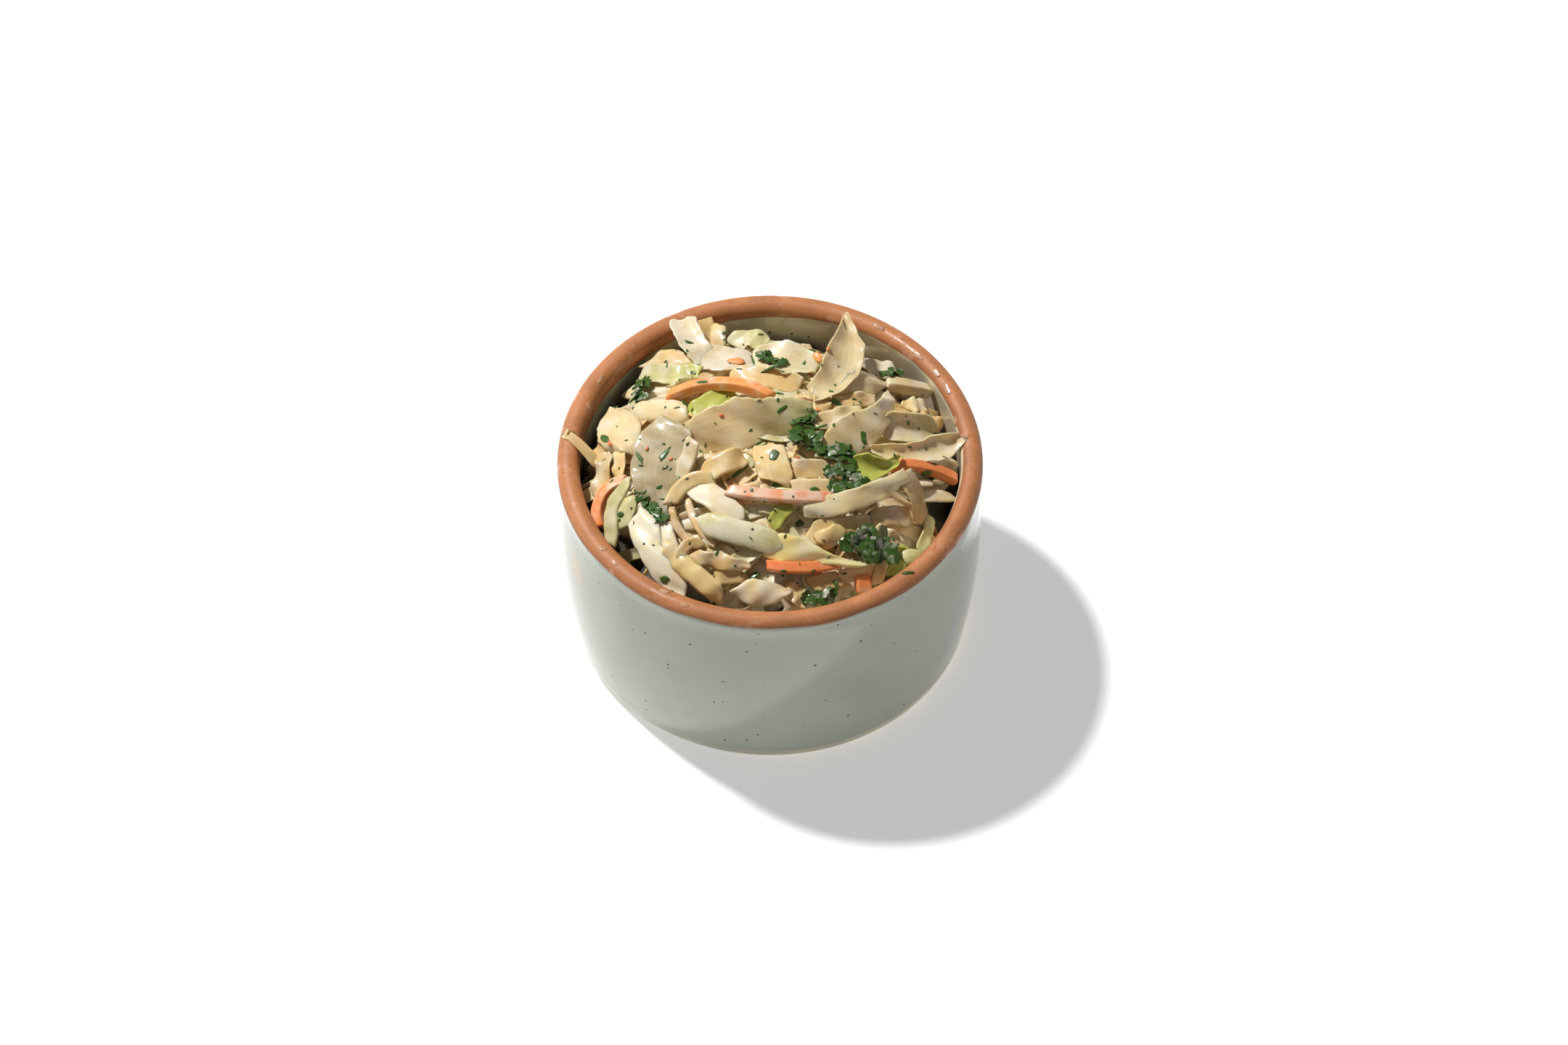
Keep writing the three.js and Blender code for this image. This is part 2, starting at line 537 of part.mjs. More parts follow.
function geometryOf(solid) {
  const { vertProperties, triVerts } = solid.getMesh();
  const geometry = new THREE.BufferGeometry()
    .setAttribute('position', new THREE.BufferAttribute(vertProperties, 3))
    .setIndex(new THREE.BufferAttribute(triVerts, 1));
  geometry.computeVertexNormals();
  return geometry;
}

// The one outer body of a solid: sealed hollows are filled and loose scraps dropped.
function outerBody(solid) {
  return solid.decompose().reduce((best, body) => (body.volume() > best.volume() ? body : best));
}

function slawGeometry() {
  let heap = solidOf(coreGeometry());
  [...BACK, ...MIDDLE, ...FRONT, ...HERBS, ...scatteredShreds()].forEach((p, order) => {
    heap = heap.add(solidOf(stripGeometry(p, order)));
  });
  const room = solidOf(turned(roomProfile(), BOWL_STEPS));
  return geometryOf(outerBody(heap.intersect(room)));
}

// ---- The object ----

function named(name, geometry, color, roughness) {
  const mesh = new THREE.Mesh(
    geometry, new THREE.MeshStandardMaterial({ color, roughness, metalness: 0 }));
  mesh.name = name;
  return mesh;
}

const coleslawBowl = new THREE.Group();
coleslawBowl.add(
  named('bowl', turned(bowlProfile(), BOWL_STEPS), 0xa3a99b, 0.25),
  named('coleslaw', slawGeometry(), 0xe0d3b4, 0.35),
);

export default coleslawBowl;
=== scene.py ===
# Coleslaw heaped in a small stoneware bowl, laid out as a Blender add-on.
# Sizes that are named here are in millimetres, and the meshes are in metres. +Z is up and -Y is the front.
import math

import bpy
import numpy as np
from bpy.props import FloatProperty, FloatVectorProperty, IntProperty, PointerProperty
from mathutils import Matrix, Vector
from mathutils.bvhtree import BVHTree
from mathutils.kdtree import KDTree


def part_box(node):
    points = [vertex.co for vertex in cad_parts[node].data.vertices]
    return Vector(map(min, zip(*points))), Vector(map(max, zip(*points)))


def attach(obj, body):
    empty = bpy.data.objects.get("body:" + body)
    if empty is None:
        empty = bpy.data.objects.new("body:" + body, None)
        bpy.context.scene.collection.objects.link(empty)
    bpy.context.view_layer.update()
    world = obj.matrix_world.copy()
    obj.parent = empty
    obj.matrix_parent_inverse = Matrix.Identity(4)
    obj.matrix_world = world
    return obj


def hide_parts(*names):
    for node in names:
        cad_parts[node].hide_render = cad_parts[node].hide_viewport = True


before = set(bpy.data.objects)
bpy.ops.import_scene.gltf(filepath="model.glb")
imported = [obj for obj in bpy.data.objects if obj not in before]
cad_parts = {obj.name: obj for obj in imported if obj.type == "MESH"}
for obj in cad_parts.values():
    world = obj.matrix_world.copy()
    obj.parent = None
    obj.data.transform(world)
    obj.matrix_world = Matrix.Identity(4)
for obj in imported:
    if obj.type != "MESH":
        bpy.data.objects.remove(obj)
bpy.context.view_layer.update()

bl_info = {
    "name": "Coleslaw bowl",
    "version": (1, 0, 0),
    "blender": (4, 5, 0),
    "location": "View3D > Sidebar > Coleslaw",
    "description": "Models a bowl of dressed coleslaw with its stage",
    "category": "Add Mesh",
}

MM = 0.001
BOWL_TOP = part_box("bowl")[1]

# The bowl, as the CAD has it.
HEIGHT = BOWL_TOP.z / MM
LIP_RADIUS = 55.0
LIP_WALL = 5.8
INNER_RADIUS = LIP_RADIUS - LIP_WALL
LIP_CENTRE = LIP_RADIUS - LIP_WALL / 2
LIP_BASE = HEIGHT - LIP_WALL / 2
FLOOR = 7.5
INNER_ROUNDING = 14.0
RECESS = 1.2
RECESS_RADIUS = 35.4
FOOT_RADIUS = 48.4
FOOT_FLARE = 3.6
FOOT_RISE = 3.7
WALL_HEIGHTS = (3.7, 12.0, 33.0, 51.0, 57.9)
WALL_RADII = (52.0, 53.2, 54.75, 54.75, 54.75)
FIRST_RING = 6.0
SHARP_ANGLE = math.radians(50)
CLEARANCE = 0.12

# The heap: a low dome. Its bed lies lower, the more so near the wall and at the back.
HEAP_RADIUS = 49.0
HEAP_WALL = 54.0
HEAP_TOP = 70.0
HEAP_BRIM = 1.15
BED_DEPTH = 1.4
BED_FALL = 5.0
BED_FALL_BEHIND = 3.5
BED_EDGE = 34.0
BEHIND = (5, 40)
DEEPEST_SHRED = 8.5
PITS = [
    # x, y, radius and depth of the hollows between the shreds and the wall
    (47, -10, 6.5, 9), (42, -25, 6, 8), (-38, -26, 5.5, 8), (-46.5, -8, 5, 9), (7, -42, 4, 5),
    (-17, -44, 5, 5), (-30, 33, 6, 3), (41, 20, 6, 3), (46, -18, 4, 6), (46.5, -1, 4.5, 9),
]

# The bed is fused from its shreds and a core, which is cut off level and walled down to the bowl's floor.
CORE_RINGS = 40
CORE_STEPS = 120
CORE_BASE = 40.0
CORE_CUT = 41.5
CORE_GAP = 0.4
FUSED_CELL = 0.5
SOFTENING = 0.6
SOFTENINGS = 4
DRESSED_AWAY = 2.5
# Painted shade of the bed: the depths below the heap over which it darkens, and how dark it gets. The bed's
# film thins over the same depths.
SUNK = (0.8, 7.0)
SUNK_PAINTED_SHADE = 0.88
BED_FILM = 0.6

# How a piece is built up round its middle line: its ends, cup, ruffles, folds, bites, frill and shade.
LINE_POINTS = 97
ROW_EVENNESS = 0.45
COLUMN_EVENNESS = 0.35
END_SHARE = 0.18
END_FULLNESS = 0.8
CUP_LEVEL = 0.35
RUFFLES = 2.2
RUFFLE_SHIFT = 1.9
ORDER_SHIFT = 1.7
SLANT_SHIFT = 2.3
EDGE_THINNING = 0.35
EDGE_BLUNTNESS = 14
END_BLUNTNESS = 30
FOLD_LENGTH = 14.0
FOLD_SPREAD = 1.1
FOLD_SHIFT = 1.3
BITE_LENGTH = 7.5
NIBBLE_LENGTH = 2.6
NIBBLE_SHIFT = 1.7
FRILL_LENGTH = 5.2
SIDE_SHIFT = 2.3
FRILL_SHIFT = 4
LEAST_TURN = 1e-4
TIP_TINT = (0.35, 1.0)
SHADE_SPREAD = 0.07
SHADE_SHIFT = 3.7
SHADE_LENGTH = 5.0
GRAIN_SHIFT = 31.0
# Share, beat and shift of the three waves of an uneven ripple.
WAVES = ((0.5, 1.0, 1.0), (0.3, 1.63, 2.1), (0.2, 2.71, 3.7))

# Chips that are laid on the surface that is seen. A chip has an outline sunk in the surface, one at its
# waist and one near its top, each as a share of its size or height.
SIGHT_START = 0.12
CHIP_SIDES = 9
CHIP_UNEVENNESS = (0.55, 1.18)
CHIP_SINK = 0.25
CHIP_FOOT = 0.9
CHIP_WAIST = 0.55
CHIP_TOP = 0.72
CHIP_CROWN = 1.06
CHIP_HEIGHTS = (0.7, 1.3)
CHIP_FILMS = (0.0, 0.2)
CHIP_SHADES = (0.7, 1.4)
STREWN_RIGHT = 45.0
STREWN_UP = 34.0
# Height and seed of each kind of chip, then the seed, lengths and widths of those that are strewn. For the
# bits of carrot their number comes first.
HERB_CHIP = (0.2, 62)
CARROT_CHIP = (0.5, 64)
LIP_DROP = (0.08, 73)
DROP_SHADES = (0.9, 1.1)
STREWN_HERB = (61, (0.6, 1.9), (0.35, 0.9))
STREWN_CARROT = (8, 63, (1.0, 2.6), (0.7, 1.3))
SLAW_MESHES = ("slaw_bed", "cabbage_leaves", "loose_shreds", "cabbage_ribs", "carrot_sticks")


# ---- Settings that a user would change ----


def tinted(name, description, default):
    return FloatVectorProperty(name=name, description=description, subtype="COLOR", default=default,
                               min=0, max=1)


def sized(name, description, default):
    return FloatProperty(name=name, description=description, default=default * MM, unit="LENGTH")


def counted(name, description, default, least=0):
    return IntProperty(name=name, description=description, default=default, min=least)


class BowlSettings(bpy.types.PropertyGroup):
    glaze: tinted("Glaze", "Colour of the glaze", (0.385, 0.41, 0.335))
    clay: tinted("Clay", "Colour of the bare clay of the lip", (0.53, 0.205, 0.075))
    speck: tinted("Specks", "Colour of the iron specks in the glaze", (0.06, 0.035, 0.03))
    outer_line: sized("Outer glaze line", "Height of the glaze's edge on the outside", 59.0)
    inner_line: sized("Inner glaze line", "Height of the glaze's edge on the inside", 58.2)
    line_tilt: sized("Line tilt", "How much the inner line rises from the middle to the right side", 2.7)
    front_rise: sized("Front rise", "How much higher the outer line lies at the front", 1.0)
    facets: counted("Facets", "Facets round the bowl", 176, least=24)


class SlawSettings(bpy.types.PropertyGroup):
    ivory: tinted("Ivory", "White cabbage", (0.81, 0.64, 0.34))
    cream: tinted("Cream", "Cabbage heart", (0.80, 0.58, 0.25))
    # Tan is partly the colour of soaked cabbage and partly painted shade, given to pieces that lie in shade.
    tan: tinted("Tan", "Soaked cabbage", (0.68, 0.46, 0.19))
    green: tinted("Pale green", "Outer cabbage leaf", (0.64, 0.58, 0.27))
    lime: tinted("Yellow green", "Green cabbage leaf", (0.52, 0.54, 0.10))
    carrot: tinted("Carrot", "Carrot sticks", (0.95, 0.30, 0.09))
    parsley: tinted("Parsley", "Parsley leaves", (0.045, 0.110, 0.012))
    chopped: tinted("Chopped herb", "Cut faces of the herb", (0.05, 0.13, 0.02))
    dressing: tinted("Dressing", "Creamy dressing", (0.88, 0.82, 0.68))
    smeared: tinted("Smears", "Thin dressing on the clay of the lip", (0.60, 0.33, 0.19))
    buried: counted("Buried shreds", "Shreds that make up the heap's bed", 190)
    loose: counted("Loose shreds", "Shreds that lie at random on the bed", 120)
    flecks: counted("Flecks", "Chopped bits of herb on the surface", 130)


class StageSettings(bpy.types.PropertyGroup):
    key: FloatProperty(name="Key light", description="Power of the key light", default=34.0, min=0,
                       unit="POWER")
    sky: FloatProperty(name="Sky", description="Strength of the light from all round", default=0.15, min=0)
    floor: tinted("Floor", "Colour of the floor", (0.90, 0.90, 0.90))
    floor_glow: FloatProperty(name="Floor glow", description="Light that comes up through the floor",
                              default=0.38, min=0)


# ---- Shape helpers ----


def unit(vectors):
    return vectors / np.linalg.norm(vectors, axis=-1, keepdims=True)


def heap_height(x, y):
    """Height of the heap's surface over a point of the plan."""
    share = np.minimum((x * x + y * y) / HEAP_RADIUS**2, HEAP_BRIM)
    return HEAP_WALL + (HEAP_TOP - HEAP_WALL) * (1 - share)


def heap_normal(x, y):
    """The heap's upward normals over points of the plan."""
    fall = 2 * (HEAP_TOP - HEAP_WALL) / HEAP_RADIUS**2
    return unit(np.stack([fall * x, fall * y, np.ones_like(x)], axis=-1))


def ripple(at, length, phase):
    """A smooth wave without a regular beat, from about -1 to 1."""
    turns = 2 * math.pi * at / length
    return sum(share * np.sin(turns * beat + shift * phase) for share, beat, shift in WAVES)


def smooth_step(value, low, high):
    share = np.clip((value - low) / (high - low), 0, 1)
    return share * share * (3 - 2 * share)


def keep_clear(points):
    """Move points that would lie in the bowl's clay to the nearest side of it."""
    radius = np.hypot(points[:, 0], points[:, 1])
    half = LIP_WALL / 2 + CLEARANCE
    out = radius - LIP_CENTRE
    up = points[:, 2] - LIP_BASE
    below = (up <= 0) & (out > -half)
    radius_new = np.where(below, LIP_CENTRE - half, radius)
    distance = np.hypot(out, up)
    within = (up > 0) & (distance < half)
    grow = np.where(within, half / np.maximum(distance, 1e-6), 1.0)
    radius_new = np.where(within, LIP_CENTRE + out * grow, radius_new)
    points[:, 2] = np.where(within, LIP_BASE + up * grow, points[:, 2])
    points[:, :2] *= (radius_new / np.maximum(radius, 1e-6))[:, None]
    return points


# ---- Pieces: one row for each, with its own sizes ----

# near, far  its two ends, (right, up) of the middle of the lip's plane when it is seen from VIEW_RISE above
#         the level
# wide    its full width
# lift    height of its middle over the heap's surface
# rise    how much higher its far end lies than its near end
# arch    how much higher its middle lies than its ends
# bow     sideways curve over its whole length, in degrees
# hook    further curve over its second half, in degrees
# roll    tilt about its length, in degrees, left side up
# twist   how much that tilt grows from end to end, in degrees
# cup     how far its long edges stand above its middle
# ruffle  height of the waves along its long edges
# ends    share of the width left at the near and far end
# tint    its colour, and tip the colour of its far end
# film    how much dressing covers it, from 0 to 1
# ragged  depth of the bites in its outline, as a share of the width
# crumple height of its folds
# curl    how far it curls up across its width, in degrees
# frill   height of the small waves along its long edges
# slant   how far its ends are cut askew, as a share of the width
# shade   how much lighter or darker it is than its kind, mostly as painted light and shade
# shape   shares of the width at even steps from end to end, where the ends alone don't give them

VIEW_RISE = math.radians(51.6)
SETTLING_STEPS = 20

STOCK = {
    "leaf": dict(thick=0.75, ends=(0.6, 0.6), tint="ivory", ragged=0.05, crumple=0.7, curl=40, frill=0.3),
    "rib": dict(thick=1.9, ends=(0.6, 0.6), tint="ivory", ragged=0.05, crumple=0.25, curl=15, frill=0.1),
    "stem": dict(thick=3.0, ends=(0.85, 0.6), tint="ivory", ragged=0.04, crumple=0.08, curl=0, frill=0),
    "carrot": dict(thick=3.0, ends=(0.92, 0.92), tint="carrot", ragged=0.02, crumple=0.08, curl=0, frill=0),
    "parsley": dict(thick=0.45, ends=(0.5, 0.5), tint="parsley", ragged=0.3, crumple=0.8, curl=60,
                    frill=0.5),
}
PLAIN = dict(rise=0, arch=0.8, bow=0, hook=0, roll=0, cup=0, ruffle=0, twist=0, film=0.45, slant=0.4,
             shape=None, shade=1)


def place_on_heap(right, up, lift):
    """Plan of the place `lift` above the heap that is seen at (right, up)."""
    y = 0.0
    for _ in range(SETTLING_STEPS):
        above = heap_height(right, y) + lift - HEIGHT
        y = (up - above * math.cos(VIEW_RISE)) / math.sin(VIEW_RISE)
    return np.array([right, y])


def bent_plan(bow, hook):
    """Plan of a line one millimetre long that starts along +X and bends to its left."""
    count = LINE_POINTS - 1
    mid = (np.arange(count) + 0.5) / count
    heading = np.radians(bow * mid + hook * np.clip(2 * mid - 1, 0, None) ** 2)
    steps = np.stack([np.cos(heading), np.sin(heading)], axis=1) / count
    return np.concatenate([[[0.0, 0.0]], np.cumsum(steps, axis=0)])


def laid(p, near, far):
    """Lay a piece from one place of the plan to another; its bend then gives its length."""
    p["near"], p["far"] = near, far
    p["long"] = math.dist(near, far) / math.hypot(*bent_plan(p["bow"], p["hook"])[-1])
    return p


def piece(kind):
    def row(near, far, wide, lift, **more):
        p = dict(PLAIN, kind=kind, wide=wide, lift=lift)
        p.update(STOCK[kind])
        p.update(more)
        low = lift - p["arch"]
        return laid(p, place_on_heap(*near, low - p["rise"] / 2), place_on_heap(*far, low + p["rise"] / 2))
    return row


leaf = piece("leaf")
rib = piece("rib")
stem = piece("stem")
carrot = piece("carrot")
parsley = piece("parsley")

BACK = [
    # tongue that leans on the lip, with a tan scrap and a small block behind it
    leaf((-23, 35.5), (-16.5, 24.5), 7.5, 7, rise=-8.5, bow=30, roll=-4, cup=0.6, ends=(0.4, 0.95),
         film=0.8, shade=0.9),
    leaf((-17, 35.5), (-16.5, 29.5), 4.5, 5.5, rise=-6, bow=-20, roll=-10, ends=(0.9, 0.4), tint="tan"),
    leaf((-13.5, 34), (-13.5, 27.5), 4.5, 4, rise=-5, thick=1.6, ends=(0.25, 0.5), tint="cream"),
    # green-edged ruffle, long white leaf and cream sheet
    leaf((-10, 29), (-1, 28.5), 6, 3, bow=-80, roll=25, ruffle=0.7, tint="green"),
    leaf((-4.5, 24.5), (12.5, 22.5), 11.5, 4, arch=1.5, bow=-10, roll=18, cup=0.8, ruffle=0.4,
         shape=(0.5, 0.75, 0.95, 1, 0.9, 0.65, 0.3), tip="green", film=0.6, curl=30),
    leaf((-18, 25.5), (-2.5, 24.5), 9, 3, bow=40, roll=14, cup=-0.5,
         shape=(0.95, 1, 1, 0.9, 0.8, 0.65, 0.5), film=0.7, shade=0.76),
    # folded cream leaf, the fold under it and a pale ring
    leaf((-34, 23), (-20, 24.5), 7, 3, bow=-25, roll=18, cup=-0.8,
         shape=(0.2, 0.6, 0.95, 1, 0.9, 0.6, 0.25), tint="cream"),
    leaf((-33.5, 22), (-18, 21.5), 6, 2, bow=60, roll=25, ends=(0.2, 0.5), tint="green", tip="lime"),
    rib((-25.5, 17.5), (-20, 20), 2, 2.2, bow=-90, thick=1.3, tint="green"),
    rib((-36, 11), (-21, 10.5), 6.5, 2.5, bow=-10, roll=18, cup=-0.6, ends=(0.3, 0.4)),
    # long arched carrot and the yellow leaf under it
    carrot((-26.5, 15), (0.5, 15), 3, 5, arch=2, bow=-40, film=0.3, shade=1.35),
    leaf((-20.5, 10.5), (-8.5, 16), 6, 2, roll=22, ruffle=0.4, ends=(0.4, 0.4), tint="lime", film=0.1),
    leaf((-10.5, 20.5), (8, 18), 6, 2, roll=30, ends=(0.4, 0.7), tint="cream"),
    # tall pointed leaf and the piece at its foot
    leaf((19.5, 37), (10.5, 15.5), 10.5, 8, rise=-11.5, arch=-0.8, bow=-45, hook=-35, roll=-6, cup=0.9,
         ruffle=0.3, shape=(0.05, 0.4, 0.65, 0.9, 1, 1, 0.85, 0.75, 0.6), film=0.3, slant=0, ragged=0.03,
         shade=0.92),
    leaf((13, 17), (13.5, 10.5), 5, 3, rise=-1, roll=-5, ruffle=0.6, ends=(0.6, 0.6), tint="cream"),
    # folded leaf in shade, square-cut stick and a lump under dressing
    leaf((16, 15.5), (30, 18), 8, 4.5, arch=1.9, bow=-10, roll=34, cup=-0.8,
         shape=(0.2, 0.5, 0.8, 1, 0.9, 0.65, 0.3)),
    stem((30, 18.5), (41.5, 16.5), 3.6, 3, bow=20, thick=3.2),
    leaf((25, 22.5), (33.5, 20.5), 8, 2, rise=-0.5, bow=-10, roll=10, cup=-0.6, ruffle=0.4,
         ends=(0.4, 0.3), film=0.9),
    leaf((15.5, 13), (27, 14.5), 4, 3, bow=10, roll=20, ruffle=0.5, tint="cream"),
    leaf((35, 12), (40, 12.5), 5, 2.5, roll=10, ruffle=0.6, ends=(0.4, 0.5), tint="cream"),
    leaf((37.5, 9.5), (44.5, 7), 4.5, 2.5, bow=-20, roll=18, ruffle=0.8, ends=(0.5, 0.4), tint="tan"),
]

MIDDLE = [
    # cupped leaf, white ruffled leaf, large flecked leaf and the trough that reaches the lip
    leaf((28.5, 7.5), (42.5, 6), 8, 2.5, arch=0, roll=28, cup=1.6, ends=(0.4, 0.25), tip="green"),
    leaf((11, 8), (24, 11), 5, 3, bow=10, roll=20, ruffle=0.6, ends=(0.8, 0.5)),
    leaf((31.5, 14.5), (12.5, 2.5), 11, 5, rise=-2, bow=-60, roll=-30, cup=-0.8,
         shape=(0.4, 0.65, 0.65, 0.8, 1, 1, 0.8, 0.45), film=0.55),
    leaf((26, 1.5), (49.5, 5), 7.5, 3, rise=5, arch=-2.4, bow=40, roll=12, cup=1,
         shape=(0.3, 0.6, 0.7, 0.75, 0.8, 1, 1, 0.7, 0.4), curl=60),
    carrot((30.5, -3), (48, -6.5), 2.9, 2.5, arch=0.6, bow=-30, film=0.2),
    # broad pale leaf, its left part and the folded lobe
    leaf((-20.5, 4.5), (11, 11), 14, 4.5, arch=1.2, bow=10, roll=46, cup=-0.6, ruffle=0.5,
         shape=(0.6, 0.8, 0.85, 0.9, 1, 0.9, 0.75, 0.7, 0.7, 0.55, 0.4), tip="green", film=0.3,
         ragged=0.06, curl=-25, slant=0, crumple=0.5),
    # the left part's shade of 0.6 is painted shade
    leaf((-24, 8.5), (-28, -15.5), 15, 5, rise=-4.5, arch=1.2, bow=50, roll=-14, cup=-0.6, ruffle=0.4,
         shape=(0.65, 0.85, 0.95, 1, 1, 0.9, 0.75, 0.55, 0.25), film=0.35, curl=-20, slant=0,
         crumple=0.4, shade=0.6),
    leaf((-41, 12.5), (-37.5, 0.5), 12, 4.5, rise=-1, roll=-8, cup=-1.4,
         shape=(0.2, 0.6, 0.9, 1, 1, 0.8, 0.35)),
    # yellow-green curl
    leaf((20, -2.5), (33.5, 0), 8, 4, rise=2, bow=90, roll=20, cup=1.2,
         shape=(0.6, 0.9, 1, 0.65, 0.4, 0.35, 0.15), tint="lime", film=0.1),
    leaf((5, -4), (19.5, -4.5), 5.5, 2, roll=12, tint="tan"),
    leaf((-1, 2.5), (2, -7), 9, 3, roll=8, cup=-0.9, ends=(0.6, 0.5), tint="cream"),
    rib((5.5, -8), (22.5, -9), 4.2, 3, bow=10, roll=22, ends=(0.8, 0.6)),
    # fan, standing strip, hooked shred, flat slice and two curly shreds
    leaf((-17.5, -5), (-6.5, 0), 6, 4, bow=10, roll=14, thick=1.3, ends=(0.2, 0.7), tint="cream"),
    leaf((-19.5, 4), (-23.5, -6.5), 4.4, 5.5, rise=-3.5, bow=-20, roll=-6, thick=1.4, shade=0.85),
    leaf((-14, -6.5), (-25.5, -12.5), 4, 4.5, arch=1.2, bow=90, roll=-20, thick=1.5, ends=(0.4, 0.9),
         tint="cream"),
    rib((-19.5, -8), (-8, -17), 7, 4, bow=-10, roll=-8, thick=1.5, ends=(0.7, 0.25), film=0.95, shade=1.05),
    leaf((-25, -13), (-14.5, -25), 2.2, 3.5, rise=-1.4, bow=80, thick=1.3, tint="tan"),
    leaf((-21, -11), (-14, -23), 2.2, 2.5, bow=50, thick=1.3, tint="tan"),
    # long level carrot and oval slice
    carrot((-11, -9), (16, -11), 3.2, 4.7, bow=30, thick=3.2, film=0.75),
    rib((-18.5, -17), (3.5, -23), 6.6, 5, arch=1, bow=15, roll=16, cup=-0.6, thick=2.4, ends=(0.3, 0.4),
        tint="green", film=0.7, shade=1.1),
    # left edge: folded shreds, twig on the lip and hooked carrot
    leaf((-44.5, 2), (-45.5, -10.5), 5, 3.5, rise=-1.5, bow=-70, ruffle=0.8, ends=(0.6, 0.35), tint="tan"),
    leaf((-38.5, 2), (-39, -6), 4, 3.5, ruffle=0.6, tint="cream"),
    stem((-53, 6), (-44.5, -2.5), 2.8, 7, rise=-8.5, bow=-10, thick=2.6, tint="tan"),
    carrot((-37, -6.5), (-43.5, -18.5), 3.2, 3, rise=-1, arch=1.2, bow=120, film=0.45, shade=1.15),
]

FRONT = [
    # long tapering leaf with a carrot under it
    leaf((-1.5, -23), (28, -26), 8, 5, rise=-0.5, arch=1.7, bow=10, hook=60, roll=20, cup=-0.8,
         shape=(0.7, 1, 0.95, 0.6, 0.35, 0.25, 0.2, 0.2), tint="cream", tip="green", film=0.4,
         shade=1.35),
    carrot((-1, -28), (17.5, -27.5), 2.9, 3.2, bow=40, film=0.2),
    leaf((9.5, -19.5), (26, -18), 7, 2.2, bow=30, roll=14, ends=(0.6, 0.5), tint="cream"),
    leaf((12, -22), (19, -19), 5.5, 3, bow=40, roll=20, cup=-1, ends=(0.4, 0.7), tint="cream"),
    # looped ribbon, its falling end and what lies under it
    leaf((8.5, -14), (35, -5), 6, 6.5, rise=4, arch=0.9, bow=45, roll=18, cup=-0.6, ruffle=0.3,
         shape=(0.6, 0.95, 1, 0.95, 0.95, 0.95, 0.75, 0.7)),
    leaf((34, -4.5), (38.5, -18), 8.5, 4.5, rise=-8, arch=1.5, bow=-70, roll=-20, cup=-0.9,
         ends=(0.75, 0.4), tint="tan"),
    leaf((25, -17), (36.5, -16.5), 5.5, 2.2, bow=-20, roll=16, ends=(0.5, 0.5), tint="tan"),
    leaf((41, -15.5), (38, -25), 3.5, 0, rise=-1, bow=-30, roll=-10, tint="green"),
    rib((34, -26.5), (38.5, -26.5), 4, 0.5, ends=(0.4, 0.4), tint="green"),
    leaf((35.5, -23.5), (31, -31), 4.5, -0.5, rise=-0.8, ends=(0.8, 0.5), tint="lime"),
    leaf((26, -19), (33, -22.5), 4.5, 2, bow=20, roll=14, ruffle=0.8, ends=(0.6, 0.4)),
    leaf((28.5, -26.5), (27, -33), 3.5, 2.2, rise=-1, bow=-10, ends=(0.9, 0.6), tint="cream"),
    carrot((23, -30), (24, -35), 4.2, 1.2, film=0.2),
    leaf((17, -31), (28.5, -27.5), 4, 2.6, bow=40, roll=30, ends=(0.8, 0.6), tint="tan"),
    leaf((10, -33), (18, -31.5), 4.5, 1.6, bow=20, roll=10, tint="tan"),
    leaf((5.5, -13), (0.5, -18.5), 4, 2.8, bow=30, ends=(0.9, 0.3), tint="lime", film=0.1),
    leaf((-3.5, -13.5), (2, -14.5), 2.8, 2.6, ends=(0.5, 0.6), tint="green"),
    # glossy leaf, long ribbon and the ruffled pieces beside them
    leaf((-33, -13), (-21.5, -35), 8.5, 4.5, rise=-2, arch=1.2, bow=55, cup=-1.3,
         shape=(0.3, 0.95, 1, 0.85, 0.9, 0.9, 0.8, 0.4), film=1.0, shade=1.1),
    leaf((-27.5, -17), (-24, -28), 5.2, 3.5, bow=20, cup=-0.5, film=0.8),
    leaf((-27, -23.5), (-12, -36.5), 5.5, 4.5, rise=-2, arch=1.2, bow=20, cup=-0.8, thick=1.5,
         ends=(0.8, 0.5), tint="cream"),
    leaf((-21, -25.5), (-5, -28.5), 5, 4.6, rise=-0.8, bow=15, roll=20, cup=-0.5, ruffle=0.9,
         shape=(0.35, 0.8, 0.8, 1, 0.75, 0.7, 0.2), tint="tan"),
    leaf((-17.5, -23.5), (-22.5, -27.5), 3, 5, bow=170, roll=-20, thick=1.3, tint="tan"),
    leaf((-14, -31), (-6.5, -30), 4, 2.5, bow=50, roll=10, tint="tan"),
    # bottom leaf, its ruffle and the sliver at the lip
    leaf((-9.5, -34), (4.5, -35.5), 7.5, 2.2, bow=30, roll=16, cup=-1.2,
         shape=(0.3, 0.8, 1, 0.9, 0.7, 0.25), tint="cream", film=0.8),
    leaf((3.5, -34), (9.5, -37.5), 5, 0.8, rise=-0.6, bow=10, ruffle=0.6, tint="cream"),
    leaf((5, -39.5), (18, -36), 2.2, -0.5, bow=10, roll=10, ends=(0.4, 0.4)),
    # pale green arm and its flap
    leaf((-35.5, -7), (-40.5, -23), 4.2, 4.6, rise=-2.2, arch=1.4, bow=110, hook=-40, thick=1.4,
         tint="green"),
    leaf((-36, -10.5), (-38.5, -19), 5.5, 4.2, rise=-1.2, cup=-1, ends=(0.8, 0.4), tint="green"),
]

